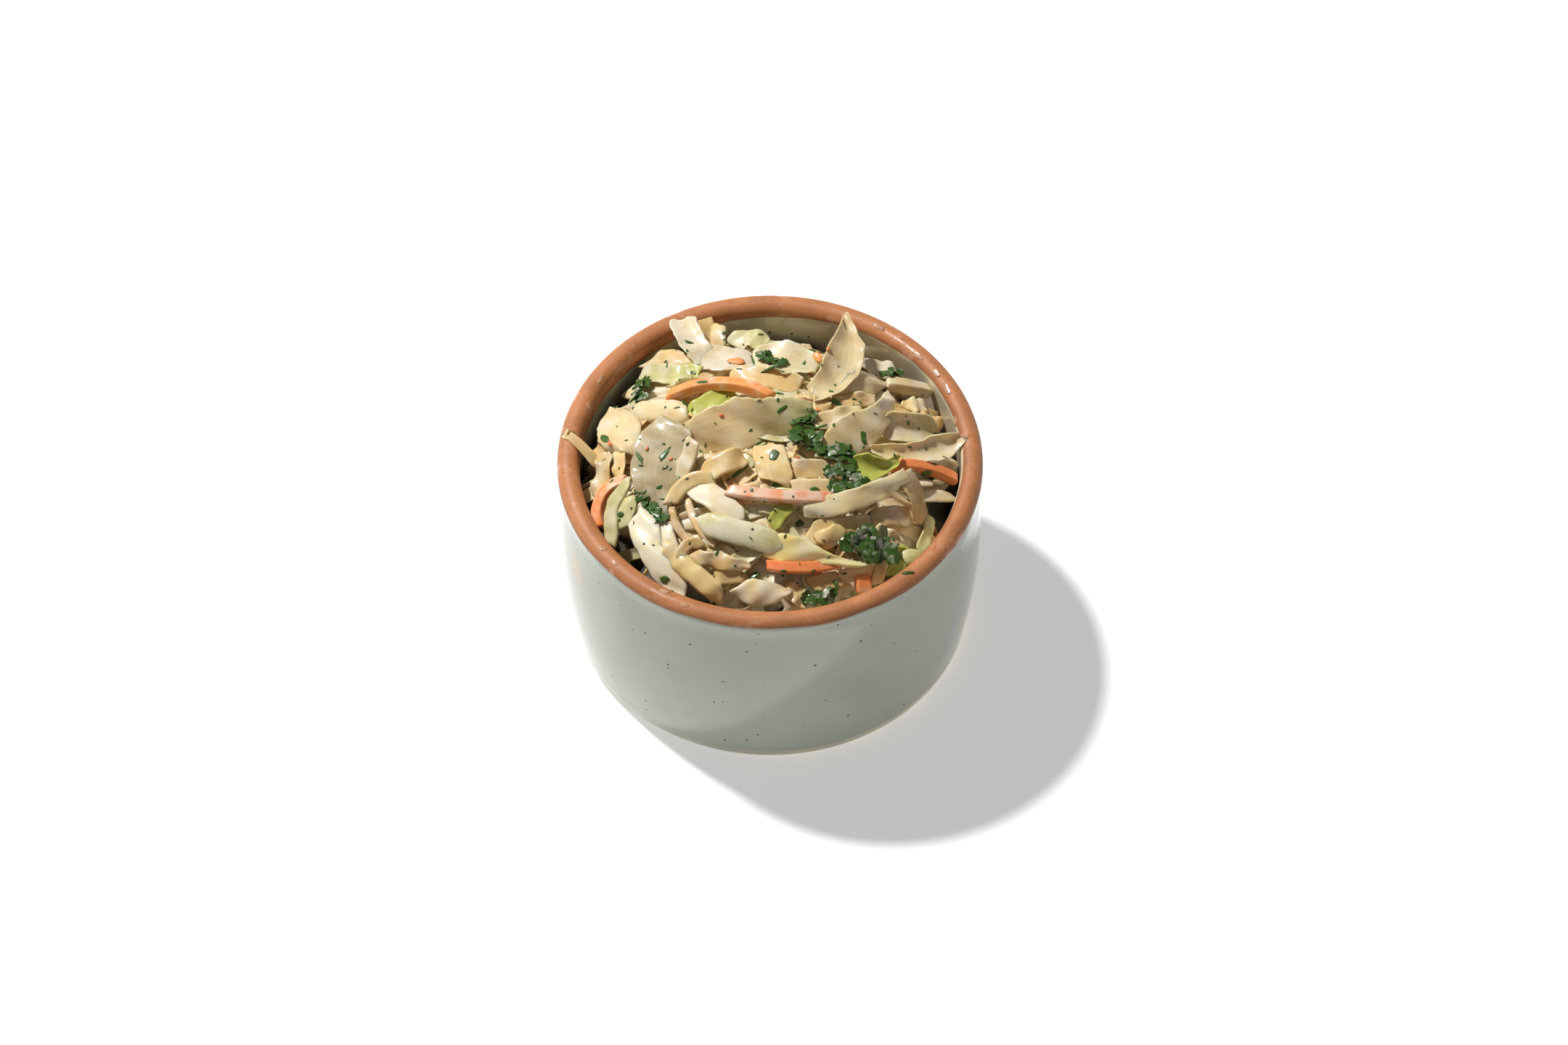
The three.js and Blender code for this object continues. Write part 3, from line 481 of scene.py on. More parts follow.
HERBS = [
    parsley((-34.5, -9), (-27.5, -17), 2.2, 4.4, arch=0.4, bow=10, film=0.0),
    parsley((-33, 19.5), (-34, 13.5), 4, 2.4, bow=20),
    parsley((5, 8), (11, 8.5), 5, 3, arch=1.6, bow=40, ruffle=0.7),
    parsley((6, 3.5), (12, 3.5), 5.4, 4, bow=-20, ruffle=0.4, thick=1.2, film=0.7),
    parsley((12, 0.5), (20, 0.5), 5.6, 3.6, ruffle=0.5),
    parsley((14.5, -5.5), (21.5, -5.5), 4.6, 4.8, bow=-60, ruffle=0.5),
    parsley((15.5, -9), (24.5, -9), 3.8, 5, bow=-30),
    parsley((18.5, -23.5), (29.5, -24.5), 8, 5.5, arch=1.1, bow=-30, roll=16, cup=-0.8,
            ends=(0.7, 0.2), film=0.8),
    parsley((8, -37), (16.5, -35.5), 4, 1, bow=30),
    parsley((28.5, 20.5), (34.5, 20.5), 3, 4),
    parsley((-3.5, 26.5), (3.5, 23.5), 3, 4.6, bow=30, ends=(0.5, 0.3)),
]

PIECES = [*BACK, *MIDDLE, *FRONT, *HERBS]
for order, row in enumerate(PIECES):
    row["order"] = order


# Chopped herb and bits of carrot that lie on the pieces: (right, up) of the place where each is seen, its
# length and width, and how far it is turned.
HERB_CHIPS = [
    # back
    (-21, 29.5, 2.6, 1, -20), (-27, 24.5, 1.3, 0.8, 0), (-20, 21.5, 2, 1, -25), (-8, 22.5, 1.9, 0.7, -10),
    (11, 27.5, 2.4, 0.8, -15), (-12, 32, 1.4, 1, 40), (-17.5, 19, 4, 1.3, -15), (-21.5, 13, 3.6, 1.2, 10),
    (-24, 12.5, 2, 0.6, 0), (-4.5, 25, 4.4, 1.2, -25), (0, 25, 6.6, 1.5, -20), (0, 22.5, 7, 1, -10),
    (17, 14, 4.6, 1.6, -25), (24, 22.5, 1.4, 0.8, 0), (2.5, 16, 2.2, 0.8, -10), (3, 12, 3.6, 1.6, 35),
    # middle
    (-27, 0.5, 4.8, 1.5, 55), (-33.5, -0.5, 4.2, 1.6, -60), (-42.5, 4.5, 3.8, 2, -50),
    (-28.5, -8, 1.8, 1.2, 20), (24, 5, 5.6, 2.4, 95), (40.5, -4.5, 3.6, 2.8, 30), (1, 0, 3.4, 2.8, 60),
    (-3, 3, 4.6, 1.3, 25), (-8.5, -4.5, 8.4, 1.6, 50), (2, -7.5, 4.6, 2, 10), (12, -9, 4.2, 2, -35),
    (13, 7.5, 5.4, 0.8, 38),
    # front
    (7.5, -17.5, 2.8, 2.2, 0), (-38.5, -15, 2, 1.6, 0), (-27, -31.5, 3.2, 2.4, -30),
    (-25, -34.5, 1.4, 0.8, -40), (3.5, -29.5, 1.8, 1.2, 0), (11, -29.5, 1.4, 1, 0),
    (-4, -30.5, 3.6, 2.6, 40), (35, -30, 3.4, 1.4, 15),
]
CARROT_CHIPS = [
    (-10.5, 28.5, 4, 2.2, 20), (12.5, 25.5, 3.6, 2.4, -40), (15, 27.5, 1.6, 1, 60), (12, 11.5, 2.2, 1.6, 0),
    (42.5, -19.5, 3, 1.2, 70), (-9, 24.5, 4.6, 2.6, -20),
]
# Runs and drops of dressing on the lip, in the same terms.
LIP_DROPS = [
    (-43, -23.5, 3.4, 1.5, -50), (-40, -27.5, 2.6, 1.2, -45), (-27, -34.5, 3.2, 1.6, -30),
    (-22, -38, 3, 1.2, -20), (28.5, 33.5, 4.6, 1.8, -40), (38.5, 26, 4, 1.6, -45),
    (43, 21.5, 3.6, 1.5, -50), (46, 17, 5, 1.8, -60), (48, 9, 3, 1.4, -70), (-44, 20, 4.4, 1.4, 60),
    (-47, 13, 3, 1.4, 65),
]


# ---- From rows to meshes ----


def middle_line(p):
    """Points down the middle line of a piece, which follows the heap."""
    t = np.linspace(0, 1, LINE_POINTS)
    plan = bent_plan(p["bow"], p["hook"]) @ [1, 1j]
    chord = complex(*(p["far"] - p["near"]))
    plan = complex(*p["near"]) + plan * chord / plan[-1]
    lift = p["lift"] + p["rise"] * (t - 0.5) - 4 * p["arch"] * (t - 0.5) ** 2
    return t, np.stack([plan.real, plan.imag, heap_height(plan.real, plan.imag) + lift], axis=1)


def rounded_end(share, t):
    """Share of the width near an end that keeps the given share of it."""
    return share + (1 - share) * np.sin(math.pi / 2 * np.clip(t / END_SHARE, 0, 1)) ** END_FULLNESS


def width_share(p, t):
    """Share of the full width at t, from 0 at the near end to 1 at the far end."""
    if p["shape"]:
        return np.interp(t, np.linspace(0, 1, len(p["shape"])), p["shape"])
    near, far = p["ends"]
    return np.minimum(rounded_end(near, t), rounded_end(far, 1 - t))


def strip(p, rows, columns):
    """A bent, closed strip: points of its two faces, which share their border."""
    u = np.linspace(0, 1, rows + 1)
    t = ROW_EVENNESS * u + (1 - ROW_EVENNESS) * (0.5 - 0.5 * np.cos(math.pi * u))
    v = np.linspace(-1, 1, columns + 1)
    s = (COLUMN_EVENNESS * v + (1 - COLUMN_EVENNESS) * np.sin(v * math.pi / 2))[None, :]
    fine, line = middle_line(p)
    tangent = unit(np.gradient(line, axis=0))
    at = np.stack([np.interp(t, fine, line[:, k]) for k in range(3)], axis=1)
    along = unit(np.stack([np.interp(t, fine, tangent[:, k]) for k in range(3)], axis=1))
    side = unit(np.cross(heap_normal(at[:, 0], at[:, 1]), along))
    up = np.cross(along, side)
    roll = np.radians(p["roll"] + p["twist"] * (t - 0.5))[:, None]
    side, up = side * np.cos(roll) + up * np.sin(roll), up * np.cos(roll) - side * np.sin(roll)

    t = t[:, None]
    phase = p["order"] * ORDER_SHIFT
    left = (s > 0).astype(float)
    off = s * p["wide"] / 2
    askew = p["slant"] * off * math.sin(phase * SLANT_SHIFT) * np.abs(2 * t - 1) ** 3
    way = t * p["long"] + askew
    edge = np.abs(s)
    bites = (ripple(way, BITE_LENGTH, phase + SIDE_SHIFT * left)
             + 0.5 * ripple(way, NIBBLE_LENGTH, NIBBLE_SHIFT * phase + left))
    half = p["wide"] / 2 * width_share(p, t[:, 0])[:, None] * (1 + p["ragged"] * bites * edge)
    wave = np.sin(2 * math.pi * RUFFLES * t + phase + RUFFLE_SHIFT * (1 - left))
    bend = p["cup"] * (s**2 - CUP_LEVEL) + p["ruffle"] * wave * edge
    lie = FOLD_SPREAD * math.sin(phase * FOLD_SHIFT)
    bend = bend + p["crumple"] * ripple(way * math.cos(lie) + off * math.sin(lie), FOLD_LENGTH, phase)
    bend = bend + p["frill"] * edge**3 * ripple(way, FRILL_LENGTH, phase + FRILL_SHIFT * left)
    thick = p["thick"] * (1 - EDGE_THINNING * s**2 * (p["kind"] not in ("carrot", "stem")))
    thick = thick * np.sqrt(np.clip(1 - edge**EDGE_BLUNTNESS, 0, 1))
    thick = thick * np.sqrt(np.clip(1 - np.abs(2 * t - 1) ** END_BLUNTNESS, 0, 1))

    turn = math.radians(p["curl"]) * s / 2 + LEAST_TURN
    across = half * s * np.sin(turn) / turn
    bend = bend + half * edge * (1 - np.cos(turn)) / np.abs(turn)
    sideways, upwards, forwards = side[:, None, :], up[:, None, :], along[:, None, :]
    facing = upwards * np.cos(turn)[..., None] - sideways * np.sin(turn)[..., None]
    middle = (at[:, None, :] + sideways * across[..., None] + upwards * bend[..., None]
              + forwards * askew[..., None])
    half_thick = facing * (thick / 2)[..., None]
    return middle + half_thick, middle - half_thick, way + 0 * off, off + 0 * way, t + 0 * off


def strip_faces(rows, columns):
    """Faces of a closed strip whose two sides share the points of their border."""
    count = (rows + 1) * (columns + 1)
    index = np.arange(count).reshape(rows + 1, columns + 1)
    below = index.copy()
    below[1:-1, 1:-1] = count + np.arange((rows - 1) * (columns - 1)).reshape(rows - 1, columns - 1)
    quads = []
    for grid, turned in ((index, False), (below, True)):
        a, b, c, d = grid[:-1, :-1], grid[1:, :-1], grid[1:, 1:], grid[:-1, 1:]
        corners = [a, d, c, b] if turned else [a, b, c, d]
        quads.append(np.stack([q.ravel() for q in corners], axis=1))
    return np.concatenate(quads)


def both_sides(top, under):
    """Values of a strip's upper face, and of the points that its lower face doesn't share."""
    inner = (slice(1, -1), slice(1, -1))
    return np.concatenate([top.reshape(-1, *top.shape[2:]), under[inner].reshape(-1, *under.shape[2:])])


class Batch:
    """Gathers many strips into the arrays of one mesh."""

    def __init__(self):
        self.points, self.faces, self.tints, self.films, self.ways = [], [], [], [], []
        self.count = 0

    def add(self, p, rows, columns, palette):
        top, under, way, off, t = strip(p, rows, columns)
        points = keep_clear(both_sides(top, under))
        tint = np.array(palette[p["tint"]])
        tip = np.array(palette[p.get("tip", p["tint"])])
        share = smooth_step(both_sides(t, t), *TIP_TINT)[:, None]
        spread = ripple(np.array([p["order"] * SHADE_SHIFT]), SHADE_LENGTH, 1.0)
        self.points.append(points)
        self.faces.append(strip_faces(rows, columns) + self.count)
        # Painted light and shade: the piece's shade darkens or lightens its tint; the spread is random tone.
        self.tints.append((tint * (1 - share) + tip * share) * (p["shade"] * (1 + SHADE_SPREAD * spread)))
        self.films.append(np.full(len(points), p["film"]))
        ways = np.stack([both_sides(way, way), both_sides(off, off)], axis=1)
        self.ways.append(ways + p["order"] * GRAIN_SHIFT)
        self.count += len(points)

    def build(self, name):
        if not self.points:
            raise RuntimeError(name + " has no pieces")
        made = mesh_object(name, np.concatenate(self.points), np.concatenate(self.faces))
        paint(made, np.concatenate(self.tints), np.concatenate(self.films))
        lay_uv(made, np.concatenate(self.ways))
        return made


def mesh_object(name, points, faces):
    """A mesh from arrays: points in millimetres and faces of one number of corners."""
    mesh = bpy.data.meshes.new(name)
    corners = faces.shape[1]
    mesh.vertices.add(len(points))
    mesh.vertices.foreach_set("co", (points * MM).astype(np.float32).ravel())
    mesh.loops.add(faces.size)
    mesh.loops.foreach_set("vertex_index", faces.astype(np.int32).ravel())
    mesh.polygons.add(len(faces))
    mesh.polygons.foreach_set("loop_start", np.arange(0, faces.size, corners, dtype=np.int32))
    mesh.polygons.foreach_set("use_smooth", np.ones(len(faces), dtype=bool))
    mesh.update(calc_edges=True)
    if mesh.validate():
        raise RuntimeError(name + " has faces that Blender can't use")
    made = bpy.data.objects.new(name, mesh)
    bpy.context.scene.collection.objects.link(made)
    return made


def paint(made, tints, films):
    """Keep each point's colour and its share of dressing as attributes."""
    colours = np.ones((len(tints), 4), dtype=np.float32)
    colours[:, :3] = np.clip(tints, 0, 1)
    made.data.attributes.new("tint", "FLOAT_COLOR", "POINT").data.foreach_set("color", colours.ravel())
    made.data.attributes.new("film", "FLOAT", "POINT").data.foreach_set("value", films.astype(np.float32))


def lay_uv(made, ways):
    """A UV map in millimetres along and across each piece."""
    loops = np.empty(len(made.data.loops), dtype=np.int32)
    made.data.loops.foreach_get("vertex_index", loops)
    layer = made.data.uv_layers.new(name="grain")
    layer.data.foreach_set("uv", ways[loops].astype(np.float32).ravel())


def points_of(made):
    points = np.empty(len(made.data.vertices) * 3, dtype=np.float32)
    made.data.vertices.foreach_get("co", points)
    return points.reshape(-1, 3) / MM


def palette_of(settings):
    names = ("ivory", "cream", "tan", "green", "lime", "carrot", "parsley", "chopped", "dressing", "smeared")
    return {name: tuple(getattr(settings, name)) for name in names}


def finish_piece(made, node_name, material):
    made.data.materials.append(material)
    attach(made, "root")
    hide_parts(node_name)


def finish_food(made, material):
    finish_piece(made, "coleslaw", material)


# ---- Chips, laid where they are seen ----


def seen_at(trees, right, up):
    """The place and normal of the first surface seen at (right, up) and the view's upward way, or None."""
    towards = Vector((0, -math.cos(VIEW_RISE), math.sin(VIEW_RISE)))
    upward = Vector((0, math.sin(VIEW_RISE), math.cos(VIEW_RISE)))
    start = (Vector((right, 0, HEIGHT)) + upward * up) * MM + towards * SIGHT_START
    hits = [hit for hit in (tree.ray_cast(start, -towards) for tree in trees) if hit[0] is not None]
    if not hits:
        return None
    place, normal, _, _ = min(hits, key=lambda hit: hit[3])
    return np.array(place) / MM, np.array(normal), np.array(upward)


def trees_of(names):
    depsgraph = bpy.context.evaluated_depsgraph_get()
    return [BVHTree.FromObject(bpy.data.objects[name], depsgraph) for name in names]


def chip_points(random, seen, long, wide, turn, height):
    """A thin chip or a low drop: an uneven outline low on the surface and a smaller one on top of it."""
    place, normal, upward = seen
    lie = math.radians(turn)
    ahead = np.array([math.cos(lie), 0, 0]) + upward * math.sin(lie)
    ahead = unit(ahead - normal * (ahead @ normal))
    side = np.cross(normal, ahead)
    turns = np.linspace(0, 2 * math.pi, CHIP_SIDES, endpoint=False) + random.uniform(0, 1)
    uneven = random.uniform(*CHIP_UNEVENNESS, CHIP_SIDES)[:, None]
    flat = (ahead * np.cos(turns)[:, None] * long / 2 + side * np.sin(turns)[:, None] * wide / 2) * uneven
    sunk = place - normal * CHIP_SINK
    return np.concatenate([sunk + flat * CHIP_FOOT, place + flat + normal * height * CHIP_WAIST,
                           place + flat * CHIP_TOP + normal * height,
                           [sunk], [place + normal * height * CHIP_CROWN]])


def chip_faces():
    """Triangles of one chip, turned outwards."""
    n = CHIP_SIDES
    faces = []
    for i in range(n):
        j = (i + 1) % n
        for low in (0, n):
            faces += [(low + i, low + j, low + n + j), (low + i, low + n + j, low + n + i)]
        faces += [(3 * n, j, i), (3 * n + 1, 2 * n + i, 2 * n + j)]
    return np.array(faces)


def build_chips(name, rows, trees, tints, height, seed, material, shades=CHIP_SHADES):
    """One mesh of many chips, each laid where its row is seen."""
    random = np.random.default_rng(seed)
    points, faces, colours, films, count = [], [], [], [], 0
    for right, up, long, wide, turn in rows:
        seen = seen_at(trees, right, up)
        if seen is None:
            continue
        made = chip_points(random, seen, long, wide, turn, height * random.uniform(*CHIP_HEIGHTS))
        tint = np.array(tints[random.integers(len(tints))]) * random.uniform(*shades)
        points.append(made)
        faces.append(chip_faces() + count)
        colours.append(np.tile(tint, (len(made), 1)))
        films.append(np.full(len(made), random.uniform(*CHIP_FILMS)))
        count += len(made)
    made = mesh_object(name, np.concatenate(points), np.concatenate(faces))
    paint(made, np.concatenate(colours), np.concatenate(films))
    finish_food(made, material)


def strewn(count, seed, long, wide):
    """Rows at random over the heap as it is seen, for the bits too many to name."""
    random = np.random.default_rng(seed)
    rows = []
    for _ in range(count):
        radius, angle = math.sqrt(random.uniform(0, 1)), random.uniform(0, 2 * math.pi)
        rows.append((STREWN_RIGHT * radius * math.cos(angle), STREWN_UP * radius * math.sin(angle),
                     random.uniform(*long), random.uniform(*wide), random.uniform(0, 180)))
    return rows


# ---- Materials ----

# How each food is finished: roughness, glow under its skin, length of its patches of dressing, depth of its
# grain, and coat.
FINISHES = {
    "dressed_bed": (0.5, 0.6, 5.0, 0, 0.5),
    "dressed_leaf": (0.5, 0.7, 6.0, 0.06, 0.5),
    "dressed_shred": (0.5, 0.7, 4.0, 0.06, 0.5),
    "dressed_rib": (0.48, 0.7, 6.0, 0.06, 0.5),
    "dressed_carrot": (0.45, 0.5, 4.0, 0.05, 0.5),
    "dressed_parsley": (0.4, 0.1, 2.0, 0, 0.5),
    "dressed_herb": (0.4, 0.1, 2.0, 0, 0.5),
    "dressed_carrot_bits": (0.4, 0.4, 2.0, 0, 0.5),
    "lip_dressing": (0.2, 0.3, 3.0, 0, 0.8),
}
LIP_DRESSING = (0.66, 0.42, 0.28)
COAT_ROUGHNESS = 0.08
SKIN_DEPTH = (1.0, 0.8, 0.5)
SKIN_SCALE = 0.8
FILM_PATCHES = (3.0, 0.55)
FILM_REACH = 0.45
FILM_EDGE = (0.62, 1.0)
FILM_STRENGTH = 0.75
FILM_SMOOTHNESS = 0.6
MOTTLING = 0.6
VEIN_STRETCH = 0.12
VEIN_SCALE = 1.3
DRESSED_BUMP = (0.15, 0.3)
PORE_LENGTH = 1.8
FOOD_SHINE = 0.35

# Patterns: length and detail of the noise, the part of it that is used, and what that becomes.
PATTERNS = {
    "mottle": (5.0, 4.0, 0.3, 0.7, 0.38, 0.6),
    "clouds": (22.0, 4.0, 0.3, 0.7, 0.93, 1.05),
    "grit": (0.7, 3.0, 0.3, 0.7, 0.9, 1.08),
    "baked": (9.0, 3.0, 0.3, 0.7, 0.88, 1.08),
    "smears": (8.5, 2.0, 0.56, 0.66, 0.0, 1.0),
    "streaks": (2.4, 3.0, 0.45, 0.6, 0.0, 1.0),
    "film_and_painted_light_patches": (12.0, 3.0, 0.3, 0.6, 0.35, 0.9),
}
# Size of the cells, share of them that is bare, and strength of the large and small specks.
SPECKS = ((2.9, 0.5, 0.9), (1.5, 0.6, 0.4))
SPECK_REACH = 0.15
LINE_WAVER = 1.6
LINE_WAVER_LENGTH = 14.0
LINE_EDGE = (-0.12, 0.18)
# Painted shade along the glaze line: how far from the line the clay is darkened, how strongly, and to what
# colour.
LINE_SHADE = (0.1, 1.6)
LINE_SHADE_STRENGTH = 0.45
LINE_PAINTED_SHADE_CLAY = (0.16, 0.05, 0.02)
GREASY_CLAY = (0.66, 0.36, 0.22)
GREASE_STRENGTH = 0.5
# Dressing film, painted light and painted reflection of the food, growing from left to the lit right.
FILM_AND_PAINTED_LIGHT_GLAZE = (0.85, 0.70, 0.47)
FILM_AND_PAINTED_LIGHT_ACROSS = (-20, 46)
FILM_AND_PAINTED_LIGHT_SHARES = (0.25, 1.0)
GLAZE_ROUGHNESS = 0.08
CLAY_ROUGHNESS = 0.55
GREASE_SMOOTHNESS = 0.3
GLAZE_WAVES = 6.0
CLAY_GRAINS = 0.5
CLAY_GRAIN_SHARE = 0.35
BOWL_BUMP = (0.25, 0.25)
# Centre, reach, colour and strength of the amber smear and the amber spot on the outside.
AMBER_MARKS = (
    ((-50.0, -22.3, 43.5), (3.0, 6.0, 7.0), (0.62, 0.38, 0.16), 0.55),
    ((50.0, -22.3, 17.4), (1.6, 3.0, 2.4), (0.60, 0.34, 0.03), 0.9),
)
AMBER_FRAYING = 1.2
AMBER_FRAY_LENGTH = 1.6
AMBER_EDGE = (0.9, 1.6)


def give(tree, socket, value):
    """Give a socket a number, a colour or another node's output."""
    if isinstance(value, bpy.types.NodeSocket):
        tree.links.new(value, socket)
    else:
        socket.default_value = value


def node(tree, kind, sockets=None, **settings):
    made = tree.nodes.new(kind)
    for name, value in settings.items():
        setattr(made, name, value)
    for name, value in (sockets or {}).items():
        give(tree, made.inputs[name], value)
    return made


def maths(tree, operation, *values):
    return node(tree, "ShaderNodeMath", dict(enumerate(values)), operation=operation).outputs[0]


def times(tree, first, second):
    return maths(tree, "MULTIPLY", first, second)


def mixed(tree, share, first, second, blend="MIX"):
    """One colour mixed into another."""
    made = node(tree, "ShaderNodeMix", data_type="RGBA", blend_type=blend)
    for place, value in ((0, share), (6, first), (7, second)):
        give(tree, made.inputs[place], value)
    return made.outputs[2]


def ranged(tree, value, low, high, to_low=0.0, to_high=1.0):
    sockets = {"Value": value, "From Min": low, "From Max": high, "To Min": to_low, "To Max": to_high}
    return node(tree, "ShaderNodeMapRange", sockets, interpolation_type="SMOOTHSTEP").outputs[0]


def noise(tree, where, length, detail=2.0, rough=0.5):
    """Noise with bumps of about the given length, in millimetres."""
    sockets = {"Vector": where, "Scale": 1 / (length * MM), "Detail": detail, "Roughness": rough}
    return node(tree, "ShaderNodeTexNoise", sockets).outputs["Fac"]


def pattern(tree, where, name):
    """One of the named patterns, as a number from place to place."""
    length, detail, low, high, to_low, to_high = PATTERNS[name]
    return ranged(tree, noise(tree, where, length, detail), low, high, to_low, to_high)


def grey(tree, value):
    """A colour that darkens or lightens another."""
    return node(tree, "ShaderNodeCombineColor", {"Red": value, "Green": value, "Blue": value}).outputs[0]


def bumped(tree, shader, height, strength, depth, *normals):
    sockets = {"Strength": strength, "Distance": depth * MM, "Height": height}
    bump = node(tree, "ShaderNodeBump", sockets).outputs[0]
    for name in ("Normal", *normals):
        tree.links.new(bump, shader.inputs[name])


def new_material(name):
    made = bpy.data.materials.new(name)
    made.use_nodes = True
    tree = made.node_tree
    return made, tree, tree.nodes["Principled BSDF"]


def opaque(colour):
    return (*colour, 1.0)


def dressed_material(name, dressing):
    """Food under a creamy film. Its colour, with the painted light and shade multiplied into it, comes from
    the attribute tint.
    """
    roughness, glow, film_length, grain, coat = FINISHES[name]
    made, tree, shader = new_material(name)
    where = node(tree, "ShaderNodeTexCoord").outputs["Object"]
    tint = node(tree, "ShaderNodeAttribute", attribute_name="tint").outputs["Color"]
    film = node(tree, "ShaderNodeAttribute", attribute_name="film").outputs["Fac"]
    patches = noise(tree, where, film_length, *FILM_PATCHES)
    cover = ranged(tree, maths(tree, "ADD", patches, times(tree, film, FILM_REACH)), *FILM_EDGE)
    colour = mixed(tree, MOTTLING, tint, grey(tree, pattern(tree, where, "mottle")), "OVERLAY")
    if grain:
        uv = node(tree, "ShaderNodeUVMap", uv_map="grain").outputs[0]
        stretched = node(tree, "ShaderNodeMapping", {"Vector": uv, "Scale": (VEIN_STRETCH, 1, 1)}).outputs[0]
        sockets = {"Vector": stretched, "Scale": VEIN_SCALE, "Detail": 3.0}
        veins = node(tree, "ShaderNodeTexNoise", sockets).outputs["Fac"]
        shade = ranged(tree, veins, 0.3, 0.7, 1 - grain, 1 + grain)
        colour = mixed(tree, 1.0, colour, grey(tree, shade), "MULTIPLY")
    colour = mixed(tree, times(tree, cover, FILM_STRENGTH), colour, opaque(dressing))
    tree.links.new(colour, shader.inputs["Base Color"])
    tree.links.new(ranged(tree, cover, 0.0, 1.0, roughness, roughness * FILM_SMOOTHNESS),
                   shader.inputs["Roughness"])
    bumped(tree, shader, noise(tree, where, PORE_LENGTH), *DRESSED_BUMP, "Coat Normal")
    for socket, value in (("Subsurface Weight", glow), ("Subsurface Radius", SKIN_DEPTH),
                          ("Subsurface Scale", SKIN_SCALE * MM), ("Coat Weight", coat),
                          ("Coat Roughness", COAT_ROUGHNESS), ("Specular IOR Level", FOOD_SHINE)):
        shader.inputs[socket].default_value = value
    return made


def specked(tree, where, glaze, speck):
    """Large and small iron specks in the glaze."""
    for size, bare, strength in SPECKS:
        sockets = {"Vector": where, "Scale": 1 / (size * MM)}
        cells = node(tree, "ShaderNodeTexVoronoi", sockets, feature="F1").outputs
        pick = node(tree, "ShaderNodeSeparateColor", {"Color": cells["Color"]}).outputs[0]
        spot = maths(tree, "LESS_THAN", cells["Distance"], ranged(tree, pick, bare, 1.0, 0.0, SPECK_REACH))
        glaze = mixed(tree, times(tree, spot, strength), glaze, opaque(speck))
    return glaze


def amber_marked(tree, where, glaze):
    """The amber smear and the amber spot, with frayed edges."""
    for centre, reach, amber, strength in AMBER_MARKS:
        away = node(tree, "ShaderNodeVectorMath", {0: where, 1: [k * MM for k in centre]},
                    operation="SUBTRACT").outputs[0]
        scaled = node(tree, "ShaderNodeVectorMath", {0: away, 1: [1 / (k * MM) for k in reach]},
                      operation="MULTIPLY").outputs[0]
        distance = node(tree, "ShaderNodeVectorMath", {0: scaled}, operation="LENGTH").outputs["Value"]
        fraying = times(tree, noise(tree, where, AMBER_FRAY_LENGTH, 3.0), AMBER_FRAYING)
        share = ranged(tree, maths(tree, "ADD", distance, fraying), *AMBER_EDGE, strength, 0.0)
        glaze = mixed(tree, share, glaze, opaque(amber))
    return glaze


